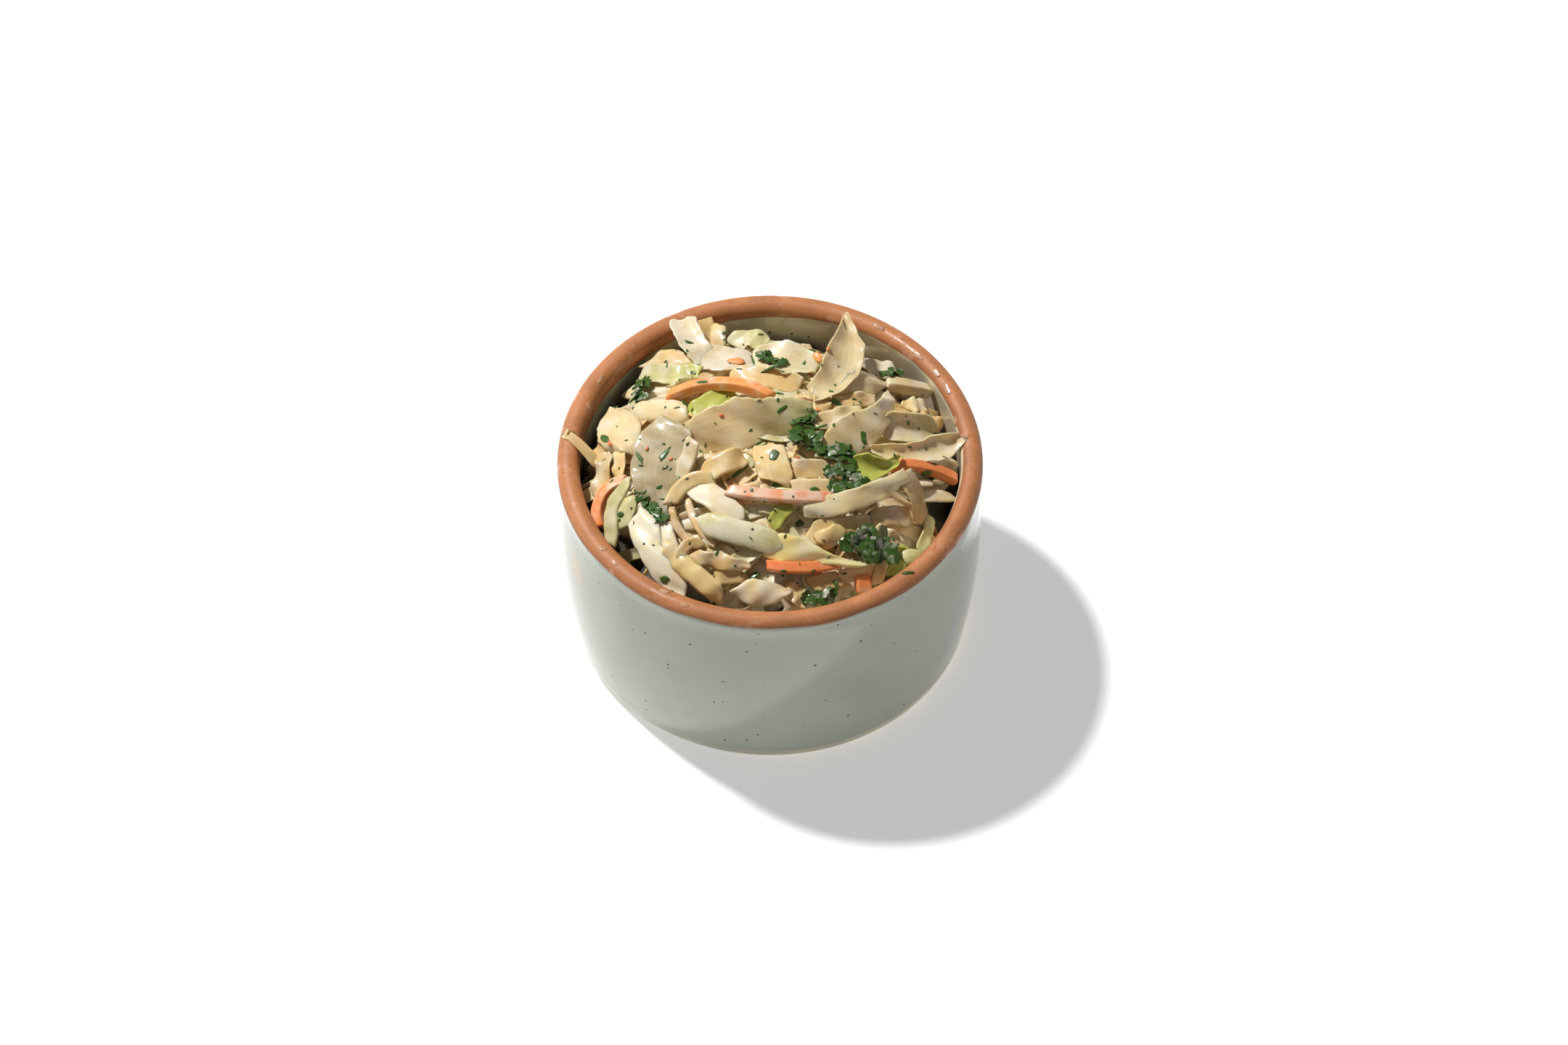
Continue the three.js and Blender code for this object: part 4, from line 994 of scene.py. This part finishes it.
def bowl_material(settings):
    """Speckled glaze, a bare clay lip partly greasy, painted shade at its glaze line and painted light
    inside.
    """
    made, tree, shader = new_material("bowl_stoneware")
    where = node(tree, "ShaderNodeTexCoord").outputs["Object"]
    x, y, z = node(tree, "ShaderNodeSeparateXYZ", {"Vector": where}).outputs
    radius = maths(tree, "SQRT", maths(tree, "ADD", times(tree, x, x), times(tree, y, y)))
    outside = maths(tree, "GREATER_THAN", radius, LIP_CENTRE * MM)
    outer = maths(tree, "MULTIPLY_ADD", y, -settings.front_rise / (LIP_RADIUS * MM), settings.outer_line)
    inner = maths(tree, "MULTIPLY_ADD", x, settings.line_tilt / (LIP_RADIUS * MM), settings.inner_line)
    line = maths(tree, "MULTIPLY_ADD", outside, maths(tree, "SUBTRACT", outer, inner), inner)
    waver = maths(tree, "SUBTRACT", noise(tree, where, LINE_WAVER_LENGTH, 3.0), 0.5)
    over = maths(tree, "SUBTRACT", maths(tree, "ADD", z, times(tree, waver, LINE_WAVER * MM)), line)
    clay = ranged(tree, over, *[k * MM for k in LINE_EDGE])
    near_line = ranged(tree, maths(tree, "ABSOLUTE", over), *[k * MM for k in LINE_SHADE], 1.0, 0.0)

    clouds = grey(tree, pattern(tree, where, "clouds"))
    glaze = mixed(tree, 1.0, opaque(settings.glaze), clouds, "MULTIPLY")
    glaze = specked(tree, where, glaze, settings.speck)

    fired = grey(tree, times(tree, pattern(tree, where, "grit"), pattern(tree, where, "baked")))
    earth = mixed(tree, 1.0, opaque(settings.clay), fired, "MULTIPLY")
    # Painted shade: the clay is darkened along the glaze line.
    earth = mixed(tree, times(tree, near_line, LINE_SHADE_STRENGTH), earth, opaque(LINE_PAINTED_SHADE_CLAY))
    smears = pattern(tree, where, "smears")
    smear = times(tree, smears, pattern(tree, where, "streaks"))
    earth = mixed(tree, times(tree, smear, GREASE_STRENGTH), earth, opaque(GREASY_CLAY))

    # Dressing film and painted light: the inside turns warm towards the lit right, where it reflects the
    # food.
    inside = maths(tree, "SUBTRACT", 1.0, outside)
    towards_right = ranged(tree, x, *[k * MM for k in FILM_AND_PAINTED_LIGHT_ACROSS], *FILM_AND_PAINTED_LIGHT_SHARES)
    film_and_painted_light = times(tree, times(tree, inside, towards_right), pattern(tree, where, "film_and_painted_light_patches"))
    glaze = mixed(tree, film_and_painted_light, glaze, opaque(FILM_AND_PAINTED_LIGHT_GLAZE))
    glaze = amber_marked(tree, where, glaze)

    tree.links.new(mixed(tree, clay, glaze, earth), shader.inputs["Base Color"])
    bare = maths(tree, "SUBTRACT", CLAY_ROUGHNESS, times(tree, smears, GREASE_SMOOTHNESS))
    above_glaze = times(tree, maths(tree, "SUBTRACT", bare, GLAZE_ROUGHNESS), clay)
    tree.links.new(maths(tree, "ADD", above_glaze, GLAZE_ROUGHNESS), shader.inputs["Roughness"])
    grains = times(tree, times(tree, noise(tree, where, CLAY_GRAINS), CLAY_GRAIN_SHARE), clay)
    bumped(tree, shader, maths(tree, "ADD", noise(tree, where, GLAZE_WAVES), grains), *BOWL_BUMP)
    return made


# ---- Bowl ----


def arc(centre, level, reach, rise, turns):
    """Rings (radius, height) round an arc, one for each turn in degrees."""
    return [(centre + reach * math.cos(turn), level + rise * math.sin(turn)) for turn in np.radians(turns)]


def curve_through(places, values, at):
    """A smooth curve through a few points."""
    total = 0.0
    for i, (place, value) in enumerate(zip(places, values)):
        others = np.delete(places, i)
        total += value * np.prod((at - others) / (place - others))
    return float(total)


def bowl_rings():
    """Rings of the bowl from the recess under it round to the middle of its inside."""
    foot = [(RECESS_RADIUS - RECESS, RECESS), (RECESS_RADIUS, 0.0), (FOOT_RADIUS, 0.0),
            *arc(FOOT_RADIUS, FOOT_RISE, FOOT_FLARE, FOOT_RISE, np.linspace(-75, -10, 7))]
    wall = [(curve_through(WALL_HEIGHTS, WALL_RADII, height), height)
            for height in np.linspace(WALL_HEIGHTS[0], WALL_HEIGHTS[-1], 18)]
    lip = arc(LIP_CENTRE, LIP_BASE, LIP_WALL / 2, LIP_WALL / 2, np.linspace(0, 180, 19))
    turn_in = FLOOR + INNER_ROUNDING
    inner_wall = [(INNER_RADIUS, height) for height in np.linspace(LIP_BASE, turn_in, 12)[1:]]
    bottom = arc(INNER_RADIUS - INNER_ROUNDING, turn_in, INNER_ROUNDING, INNER_ROUNDING,
                 np.linspace(0, -90, 9)[1:])
    return [*foot, *wall, *lip, *inner_wall, *bottom, (FIRST_RING, FLOOR)]


def extrude_rings(rings, radius, height):
    """Extrude the selected ring, of the given radius and height, through the rings of a list."""
    for next_radius, next_height in rings:
        bpy.ops.mesh.extrude_region_move(
            TRANSFORM_OT_translate={"value": (0, 0, (next_height - height) * MM)})
        scale = next_radius / radius
        bpy.ops.transform.resize(value=(scale, scale, 1), center_override=(0, 0, next_height * MM))
        radius, height = next_radius, next_height


def close_up():
    """Turn all faces outwards and leave edit mode."""
    bpy.ops.mesh.select_all(action="SELECT")
    bpy.ops.mesh.normals_make_consistent(inside=False)
    bpy.ops.object.mode_set(mode="OBJECT")


class SLAW_OT_bowl(bpy.types.Operator):
    """Model the stoneware bowl, ring by ring from its foot to its inside"""

    bl_idname = "slaw.bowl"
    bl_label = "Bowl"

    def execute(self, context):
        settings = context.scene.slaw_bowl
        bpy.ops.object.select_all(action="DESELECT")
        bpy.ops.mesh.primitive_circle_add(vertices=settings.facets, radius=FIRST_RING * MM, fill_type="NGON",
                                          location=(0, 0, RECESS * MM))
        made = context.active_object
        made.name = made.data.name = "stoneware_bowl"
        bpy.ops.object.mode_set(mode="EDIT")
        bpy.ops.mesh.select_all(action="SELECT")
        extrude_rings(bowl_rings(), FIRST_RING, RECESS)
        close_up()
        bpy.ops.object.transform_apply(location=True, rotation=True, scale=True)
        bpy.ops.object.shade_smooth_by_angle(angle=SHARP_ANGLE)
        finish_piece(made, "bowl", bowl_material(settings))
        return {"FINISHED"}


# ---- Bed and loose shreds ----

# What differs between shreds laid at random, how it is drawn, and the two numbers of that draw.
SHRED_FORM = (
    ("rise", "normal", 0, 1.2), ("arch", "uniform", 0, 1.2), ("bow", "uniform", -70, 70),
    ("hook", "uniform", -30, 60), ("roll", "normal", 0, 22), ("cup", "uniform", -0.6, 0.6),
    ("ruffle", "uniform", 0, 0.4), ("twist", "normal", 0, 30),
    ("near_end", "uniform", 0.4, 0.9), ("far_end", "uniform", 0.3, 0.9),
)
SHRED_FINISH = (("film", "uniform", 0.3, 0.9), ("curl", "uniform", -90, 130), ("frill", "uniform", 0, 0.4))
SHRED_TURN = 50
SHRED_SLANT = 0.8
SHRED_LENGTH = (12, 26)
SHRED_ORDER = 200
# Seed, widths, thicknesses, lifts over the bed, colours, reach from the middle, and faces along and across.
BURIED = (7, (3.0, 7.0), (1.1, 1.6), (-0.9, 1.0), ("ivory", "cream", "cream", "tan", "green", "ivory"), 46,
          (20, 8))
LOOSE = (23, (1.8, 4.6), (0.7, 0.9), (0.6, 2.6), ("ivory", "cream", "tan", "green", "cream"), 43, (22, 8))


def bed_height(x, y):
    """Height of the dressed bed that the pieces on show lie on."""
    fall = BED_FALL + BED_FALL_BEHIND * smooth_step(y, *BEHIND)
    height = heap_height(x, y) - BED_DEPTH - fall * smooth_step(np.hypot(x, y), BED_EDGE, HEAP_RADIUS)
    for px, py, reach, depth in PITS:
        height = height - depth * np.exp(-((x - px) ** 2 + (y - py) ** 2) / reach**2)
    return height


def varied(random, variety):
    """Draw what differs from piece to piece, in the order of the list."""
    return {name: getattr(random, draw)(first, second) for name, draw, first, second in variety}


def scattered(count, seed, wide, thick, lift, tints, reach):
    """Rows of shreds laid at random over the heap."""
    random = np.random.default_rng(seed)
    variety = (("wide", "uniform", *wide), ("lift", "uniform", *lift), *SHRED_FORM,
               ("thick", "uniform", *thick), *SHRED_FINISH)
    rows = []
    for i in range(count):
        radius = reach * math.sqrt(random.uniform(0, 1))
        angle = random.uniform(0, 2 * math.pi)
        middle = radius * np.array([math.cos(angle), math.sin(angle)])
        low = float(bed_height(*middle) - heap_height(*middle))
        if low < -DEEPEST_SHRED:
            continue
        turn = math.radians(random.normal(0, SHRED_TURN))
        half = random.uniform(*SHRED_LENGTH) / 2 * np.array([math.cos(turn), math.sin(turn)])
        p = dict(PLAIN, **STOCK["leaf"], kind="leaf", slant=SHRED_SLANT, order=SHRED_ORDER + i)
        p.update(varied(random, variety))
        p["lift"] += low
        p["ends"] = (p["near_end"], p["far_end"])
        p["tint"] = tints[random.integers(len(tints))]
        rows.append(laid(p, middle - half, middle + half))
    return rows


def shred_batch(count, kind, palette):
    *draws, grid = kind
    batch = Batch()
    for p in scattered(count, *draws):
        batch.add(p, *grid, palette)
    return batch


def bed_core():
    """The bed without its shreds, down to a little under the lowest of them."""
    radii = np.linspace(0, INNER_RADIUS - CORE_GAP, CORE_RINGS + 1)[1:, None]
    angles = np.linspace(0, 2 * math.pi, CORE_STEPS, endpoint=False)
    x, y = radii * np.cos(angles), radii * np.sin(angles)
    top = np.stack([x, y, bed_height(x, y)], axis=-1).reshape(-1, 3)
    under = top * [1, 1, 0] + [0, 0, CORE_BASE]
    count = len(top)
    points = np.concatenate([top, under, [[0, 0, bed_height(0.0, 0.0)], [0, 0, CORE_BASE]]])
    faces = []
    last = count - CORE_STEPS
    for j in range(CORE_STEPS):
        k = (j + 1) % CORE_STEPS
        faces += [(2 * count, j, k), (2 * count + 1, count + k, count + j)]
        for a in range(0, last, CORE_STEPS):
            b = a + CORE_STEPS
            faces.append((a + j, b + j, b + k, a + k))
            faces.append((count + a + k, count + b + k, count + b + j, count + a + j))
        faces.append((last + j, count + last + j, count + last + k, last + k))
    mesh = bpy.data.meshes.new("slaw_bed")
    mesh.from_pydata((points * MM).tolist(), [], faces)
    made = bpy.data.objects.new("slaw_bed", mesh)
    bpy.context.scene.collection.objects.link(made)
    return made


def fuse_shreds(core, shreds):
    """Fuse the core with its shreds into one soft, closed mesh."""
    bpy.ops.object.select_all(action="DESELECT")
    shreds.select_set(True)
    core.select_set(True)
    bpy.context.view_layer.objects.active = core
    bpy.ops.object.join()
    fuse = core.modifiers.new("fuse", "REMESH")
    fuse.mode = "VOXEL"
    fuse.voxel_size = FUSED_CELL * MM
    bpy.ops.object.modifier_apply(modifier="fuse")
    soften = core.modifiers.new("soften", "SMOOTH")
    soften.factor = SOFTENING
    soften.iterations = SOFTENINGS
    bpy.ops.object.modifier_apply(modifier="soften")


def deepen(core):
    """Cut the bed off level and carry its wall down to the bowl's floor."""
    bpy.ops.object.mode_set(mode="EDIT")
    bpy.ops.mesh.select_all(action="SELECT")
    bpy.ops.mesh.bisect(plane_co=(0, 0, CORE_CUT * MM), plane_no=(0, 0, 1), clear_inner=True, use_fill=False)
    bpy.ops.mesh.select_mode(type="EDGE")
    bpy.ops.mesh.select_all(action="DESELECT")
    bpy.ops.mesh.select_non_manifold(use_wire=False, use_boundary=True, use_multi_face=False,
                                     use_non_contiguous=False, use_verts=False)
    rounding = INNER_ROUNDING - CORE_GAP
    radius = INNER_RADIUS - CORE_GAP
    level = FLOOR + CORE_GAP + rounding
    extrude_rings(arc(radius - rounding, level, rounding, rounding, (0, -30, -60, -88)), radius, CORE_CUT)
    bpy.ops.mesh.edge_face_add()
    close_up()


def paint_bed(core, batch, dressing):
    """Give the bed the colours of its nearest shreds, dressed between them, with painted shade that darkens
    it and thins its film where it sinks.
    """
    colours = np.concatenate(batch.tints)
    nearest = KDTree(len(colours))
    for i, point in enumerate(np.concatenate(batch.points)):
        nearest.insert(point, i)
    nearest.balance()
    points = points_of(core)
    tints = np.empty((len(points), 3))
    for i, point in enumerate(points):
        _, which, distance = nearest.find(point)
        share = min(1.0, distance / DRESSED_AWAY)
        tints[i] = colours[which] * (1 - share) + np.array(dressing) * share
    for name in ("tint", "film"):
        if name in core.data.attributes:
            core.data.attributes.remove(core.data.attributes[name])
    # Painted shade: the bed is darkened, and its film thinned, the deeper it lies below the heap.
    sunk = smooth_step(heap_height(points[:, 0], points[:, 1]) - points[:, 2], *SUNK)
    paint(core, tints * (1 - SUNK_PAINTED_SHADE * sunk)[:, None], BED_FILM * (1 - sunk))
    core.data.polygons.foreach_set("use_smooth", np.ones(len(core.data.polygons), dtype=bool))


class SLAW_OT_bed(bpy.types.Operator):
    """Model the bed of the heap: buried shreds fused by their dressing"""

    bl_idname = "slaw.bed"
    bl_label = "Bed of dressed shreds"

    def execute(self, context):
        food = context.scene.slaw_food
        batch = shred_batch(food.buried, BURIED, palette_of(food))
        core = bed_core()
        fuse_shreds(core, batch.build("buried_shreds"))
        deepen(core)
        paint_bed(core, batch, food.dressing)
        finish_food(core, dressed_material("dressed_bed", food.dressing))
        return {"FINISHED"}


class SLAW_OT_loose(bpy.types.Operator):
    """Model the fine shreds that lie loose between the leaves"""

    bl_idname = "slaw.loose"
    bl_label = "Loose shreds"

    def execute(self, context):
        food = context.scene.slaw_food
        made = shred_batch(food.loose, LOOSE, palette_of(food)).build("loose_shreds")
        finish_food(made, dressed_material("dressed_shred", food.dressing))
        return {"FINISHED"}


# ---- Named pieces ----

# The form of a parsley leaflet. Its outline is shares of its width, from its stalk to its tip.
LEAFLET = dict(shape=(0.12, 0.55, 0.95, 0.62, 0.9, 1.0, 0.6, 0.72, 0.5, 0.12), thick=0.35, arch=0.3, hook=0,
               cup=0, ruffle=0, slant=0, ragged=0.12, crumple=0.3, frill=0.25)
LEAFLET_VARIETY = (
    ("higher", "uniform", -0.2, 0.9), ("rise", "uniform", -0.4, 1.0), ("bow", "uniform", -25, 25),
    ("roll", "normal", 0, 24), ("broad", "uniform", 0.85, 1.05), ("curl", "uniform", -60, 80),
)
LEAFLETS_PER_MM = 0.75
LEAST_LEAFLETS = 4
LEAST_LEAFLET = 3.4
LEAFLET_TURNS = (0.5, 1.3)
LEAFLET_SIZES = (0.7, 1.05)
LEAFLET_STALK = 0.25
LEAFLET_SEED = 500
LEAFLET_ORDER = 600
LEAFLETS_APART = 12
# How much more or less dressing a leaflet carries than its sprig.
SPRIG_FILMS = (-0.75, -0.75, -0.5, -0.25, 0.05)
STALK = dict(thick=0.6, ragged=0.15)
STALK_WIDTH = 0.6
LEAFLET_GRID = (24, 8)
LOOK_AHEAD = 8


def sprig(p):
    """Rows for the lobed leaflets of a sprig, alternately left and right along its middle line."""
    random = np.random.default_rng(LEAFLET_SEED + p["order"])
    line = middle_line(p)[1][:, :2]
    last = len(line) - 1
    count = max(LEAST_LEAFLETS, round(p["long"] * LEAFLETS_PER_MM))
    rows = []
    for i in range(count):
        share = (i + 0.5) / count
        step = int(share * len(line))
        ahead = line[min(step + LOOK_AHEAD, last)] - line[max(step - LOOK_AHEAD, 0)]
        turn = math.atan2(ahead[1], ahead[0]) + (-1) ** i * random.uniform(*LEAFLET_TURNS)
        long = random.uniform(*LEAFLET_SIZES) * max(p["wide"], LEAST_LEAFLET)
        reach = long * np.array([math.cos(turn), math.sin(turn)])
        drawn = varied(random, LEAFLET_VARIETY)
        leaflet = {**p, **LEAFLET, **drawn}
        leaflet["lift"] += drawn["higher"]
        leaflet["wide"] = long * drawn["broad"]
        leaflet["order"] = LEAFLET_ORDER + LEAFLETS_APART * p["order"] + i
        leaflet["film"] += SPRIG_FILMS[random.integers(len(SPRIG_FILMS))]
        at = line[int(share * last)]
        rows.append(laid(leaflet, at - LEAFLET_STALK * reach, at + (1 - LEAFLET_STALK) * reach))
    return rows


def even_count(size, least, pairs_per_mm):
    return max(least, 2 * round(size * pairs_per_mm))


def build_kind(name, finish, kinds, along, across):
    """One mesh of the pieces of some kinds, with a least count of faces and pairs for each millimetre."""
    food = bpy.context.scene.slaw_food
    batch = Batch()
    for p in PIECES:
        if p["kind"] in kinds:
            batch.add(p, even_count(p["long"], *along), even_count(p["wide"], *across), palette_of(food))
    finish_food(batch.build(name), dressed_material(finish, food.dressing))


class SLAW_OT_leaves(bpy.types.Operator):
    """Model the cabbage leaves and thin shreds"""

    bl_idname = "slaw.leaves"
    bl_label = "Cabbage leaves"

    def execute(self, context):
        build_kind("cabbage_leaves", "dressed_leaf", ("leaf",), (16, 0.75), (8, 0.8))
        return {"FINISHED"}


class SLAW_OT_ribs(bpy.types.Operator):
    """Model the thick cabbage ribs and stems"""

    bl_idname = "slaw.ribs"
    bl_label = "Ribs and stems"

    def execute(self, context):
        build_kind("cabbage_ribs", "dressed_rib", ("rib", "stem"), (16, 0.8), (12, 0))
        return {"FINISHED"}


class SLAW_OT_carrots(bpy.types.Operator):
    """Model the carrot sticks"""

    bl_idname = "slaw.carrots"
    bl_label = "Carrot sticks"

    def execute(self, context):
        build_kind("carrot_sticks", "dressed_carrot", ("carrot",), (20, 1.2), (14, 0))
        return {"FINISHED"}


class SLAW_OT_parsley(bpy.types.Operator):
    """Model the parsley leaves"""

    bl_idname = "slaw.parsley"
    bl_label = "Parsley leaves"

    def execute(self, context):
        food = context.scene.slaw_food
        batch = Batch()
        for p in HERBS:
            for leaflet in [dict(p, wide=STALK_WIDTH * p["wide"], **STALK), *sprig(p)]:
                batch.add(leaflet, *LEAFLET_GRID, palette_of(food))
        finish_food(batch.build("parsley_leaves"), dressed_material("dressed_parsley", food.dressing))
        return {"FINISHED"}


class SLAW_OT_chips(bpy.types.Operator):
    """Model the chopped herb and the bits of carrot on the surface of the slaw"""

    bl_idname = "slaw.chips"
    bl_label = "Chopped herb and carrot bits"

    def execute(self, context):
        food = context.scene.slaw_food
        palette = palette_of(food)
        trees = trees_of((*SLAW_MESHES, "stoneware_bowl"))
        herb = dressed_material("dressed_herb", food.dressing)
        rows = [*HERB_CHIPS, *strewn(food.flecks, *STREWN_HERB)]
        build_chips("herb_flecks", rows, trees, [palette["parsley"], palette["chopped"]], *HERB_CHIP, herb)
        bits = dressed_material("dressed_carrot_bits", food.dressing)
        rows = [*CARROT_CHIPS, *strewn(*STREWN_CARROT)]
        build_chips("carrot_bits", rows, trees, [palette["carrot"]], *CARROT_CHIP, bits)
        return {"FINISHED"}


class SLAW_OT_dressing(bpy.types.Operator):
    """Model the drops and runs of dressing on the lip"""

    bl_idname = "slaw.dressing"
    bl_label = "Drops of dressing"

    def execute(self, context):
        tints = [palette_of(context.scene.slaw_food)["smeared"]]
        wet = dressed_material("lip_dressing", LIP_DRESSING)
        build_chips("lip_drops", LIP_DROPS, trees_of(["stoneware_bowl"]), tints, *LIP_DROP, wet, DROP_SHADES)
        return {"FINISHED"}


# ---- Stage ----

FLOOR_SIZE = 12.0
FLOOR_ROUGHNESS = 0.9
FLOOR_SHINE = 0.1
KEY_AZIMUTH = math.radians(144)
KEY_RISE = math.radians(58)
KEY_DISTANCE = 1800
KEY_SIZE = 140
CAMERA_DISTANCE = 2500
CAMERA_AIM = (3.56, -13.5, 51.3)
CAMERA_LENS = 222.5
CAMERA_SENSOR = 36
CAMERA_SIGHT = 50


def way_to(azimuth, rise):
    """A direction, from its bearing in the plan and its angle above the level."""
    return Vector((math.cos(azimuth) * math.cos(rise), math.sin(azimuth) * math.cos(rise), math.sin(rise)))


class SLAW_OT_stage(bpy.types.Operator):
    """Set up the floor, the lights and the camera"""

    bl_idname = "slaw.stage"
    bl_label = "Stage"

    def execute(self, context):
        settings = context.scene.slaw_stage
        bpy.ops.object.select_all(action="DESELECT")
        bpy.ops.mesh.primitive_plane_add(size=FLOOR_SIZE, location=(0, 0, 0))
        floor = context.active_object
        floor.name = "floor"
        material, _, shader = new_material("floor")
        for socket, value in (("Base Color", opaque(settings.floor)), ("Roughness", FLOOR_ROUGHNESS),
                              ("Specular IOR Level", FLOOR_SHINE), ("Emission Color", (1, 1, 1, 1)),
                              ("Emission Strength", settings.floor_glow)):
            shader.inputs[socket].default_value = value
        floor.data.materials.append(material)

        towards = way_to(KEY_AZIMUTH, KEY_RISE)
        bpy.ops.object.light_add(type="AREA", location=towards * KEY_DISTANCE * MM)
        key = context.active_object
        key.name = "key_light"
        key.data.shape = "DISK"
        key.data.size = KEY_SIZE * MM
        key.data.energy = settings.key
        key.rotation_euler = towards.to_track_quat("Z", "Y").to_euler()

        world = bpy.data.worlds.new("sky")
        world.use_nodes = True
        sky = world.node_tree.nodes["Background"]
        sky.inputs["Color"].default_value = (1, 1, 1, 1)
        sky.inputs["Strength"].default_value = settings.sky
        context.scene.world = world
        context.scene.view_settings.view_transform = "Standard"

        reach = CAMERA_DISTANCE * MM
        place = Vector((0, -reach * math.cos(VIEW_RISE), HEIGHT * MM + reach * math.sin(VIEW_RISE)))
        bpy.ops.object.camera_add(location=place)
        camera = context.active_object
        camera.name = "camera"
        camera.rotation_euler = (Vector(CAMERA_AIM) * MM - place).to_track_quat("-Z", "Y").to_euler()
        camera.data.lens = CAMERA_LENS
        camera.data.sensor_width = CAMERA_SENSOR
        camera.data.clip_end = CAMERA_SIGHT
        context.scene.camera = camera
        return {"FINISHED"}


class SLAW_PT_panel(bpy.types.Panel):
    """Lists the pieces of the bowl of coleslaw"""

    bl_idname = "SLAW_PT_panel"
    bl_label = "Coleslaw bowl"
    bl_space_type = "VIEW_3D"
    bl_region_type = "UI"
    bl_category = "Coleslaw"

    def draw(self, context):
        for group in SETTINGS:
            settings = getattr(context.scene, group)
            box = self.layout.box()
            for name in settings.__annotations__:
                box.prop(settings, name)
        for operator in OPERATORS:
            self.layout.operator(operator.bl_idname)


SETTINGS = {"slaw_bowl": BowlSettings, "slaw_food": SlawSettings, "slaw_stage": StageSettings}
OPERATORS = (SLAW_OT_bowl, SLAW_OT_bed, SLAW_OT_leaves, SLAW_OT_loose, SLAW_OT_ribs, SLAW_OT_carrots,
             SLAW_OT_parsley, SLAW_OT_chips, SLAW_OT_dressing, SLAW_OT_stage)


def register():
    for made in (*SETTINGS.values(), *OPERATORS, SLAW_PT_panel):
        bpy.utils.register_class(made)
    for name, group in SETTINGS.items():
        setattr(bpy.types.Scene, name, PointerProperty(type=group))


def unregister():
    for name in SETTINGS:
        delattr(bpy.types.Scene, name)
    for made in reversed((*SETTINGS.values(), *OPERATORS, SLAW_PT_panel)):
        bpy.utils.unregister_class(made)


def main():
    register()
    bpy.ops.slaw.bowl()
    bpy.ops.slaw.bed()
    bpy.ops.slaw.leaves()
    bpy.ops.slaw.loose()
    bpy.ops.slaw.ribs()
    bpy.ops.slaw.carrots()
    bpy.ops.slaw.parsley()
    bpy.ops.slaw.chips()
    bpy.ops.slaw.dressing()
    bpy.ops.slaw.stage()


if __name__ == "__main__":
    main()
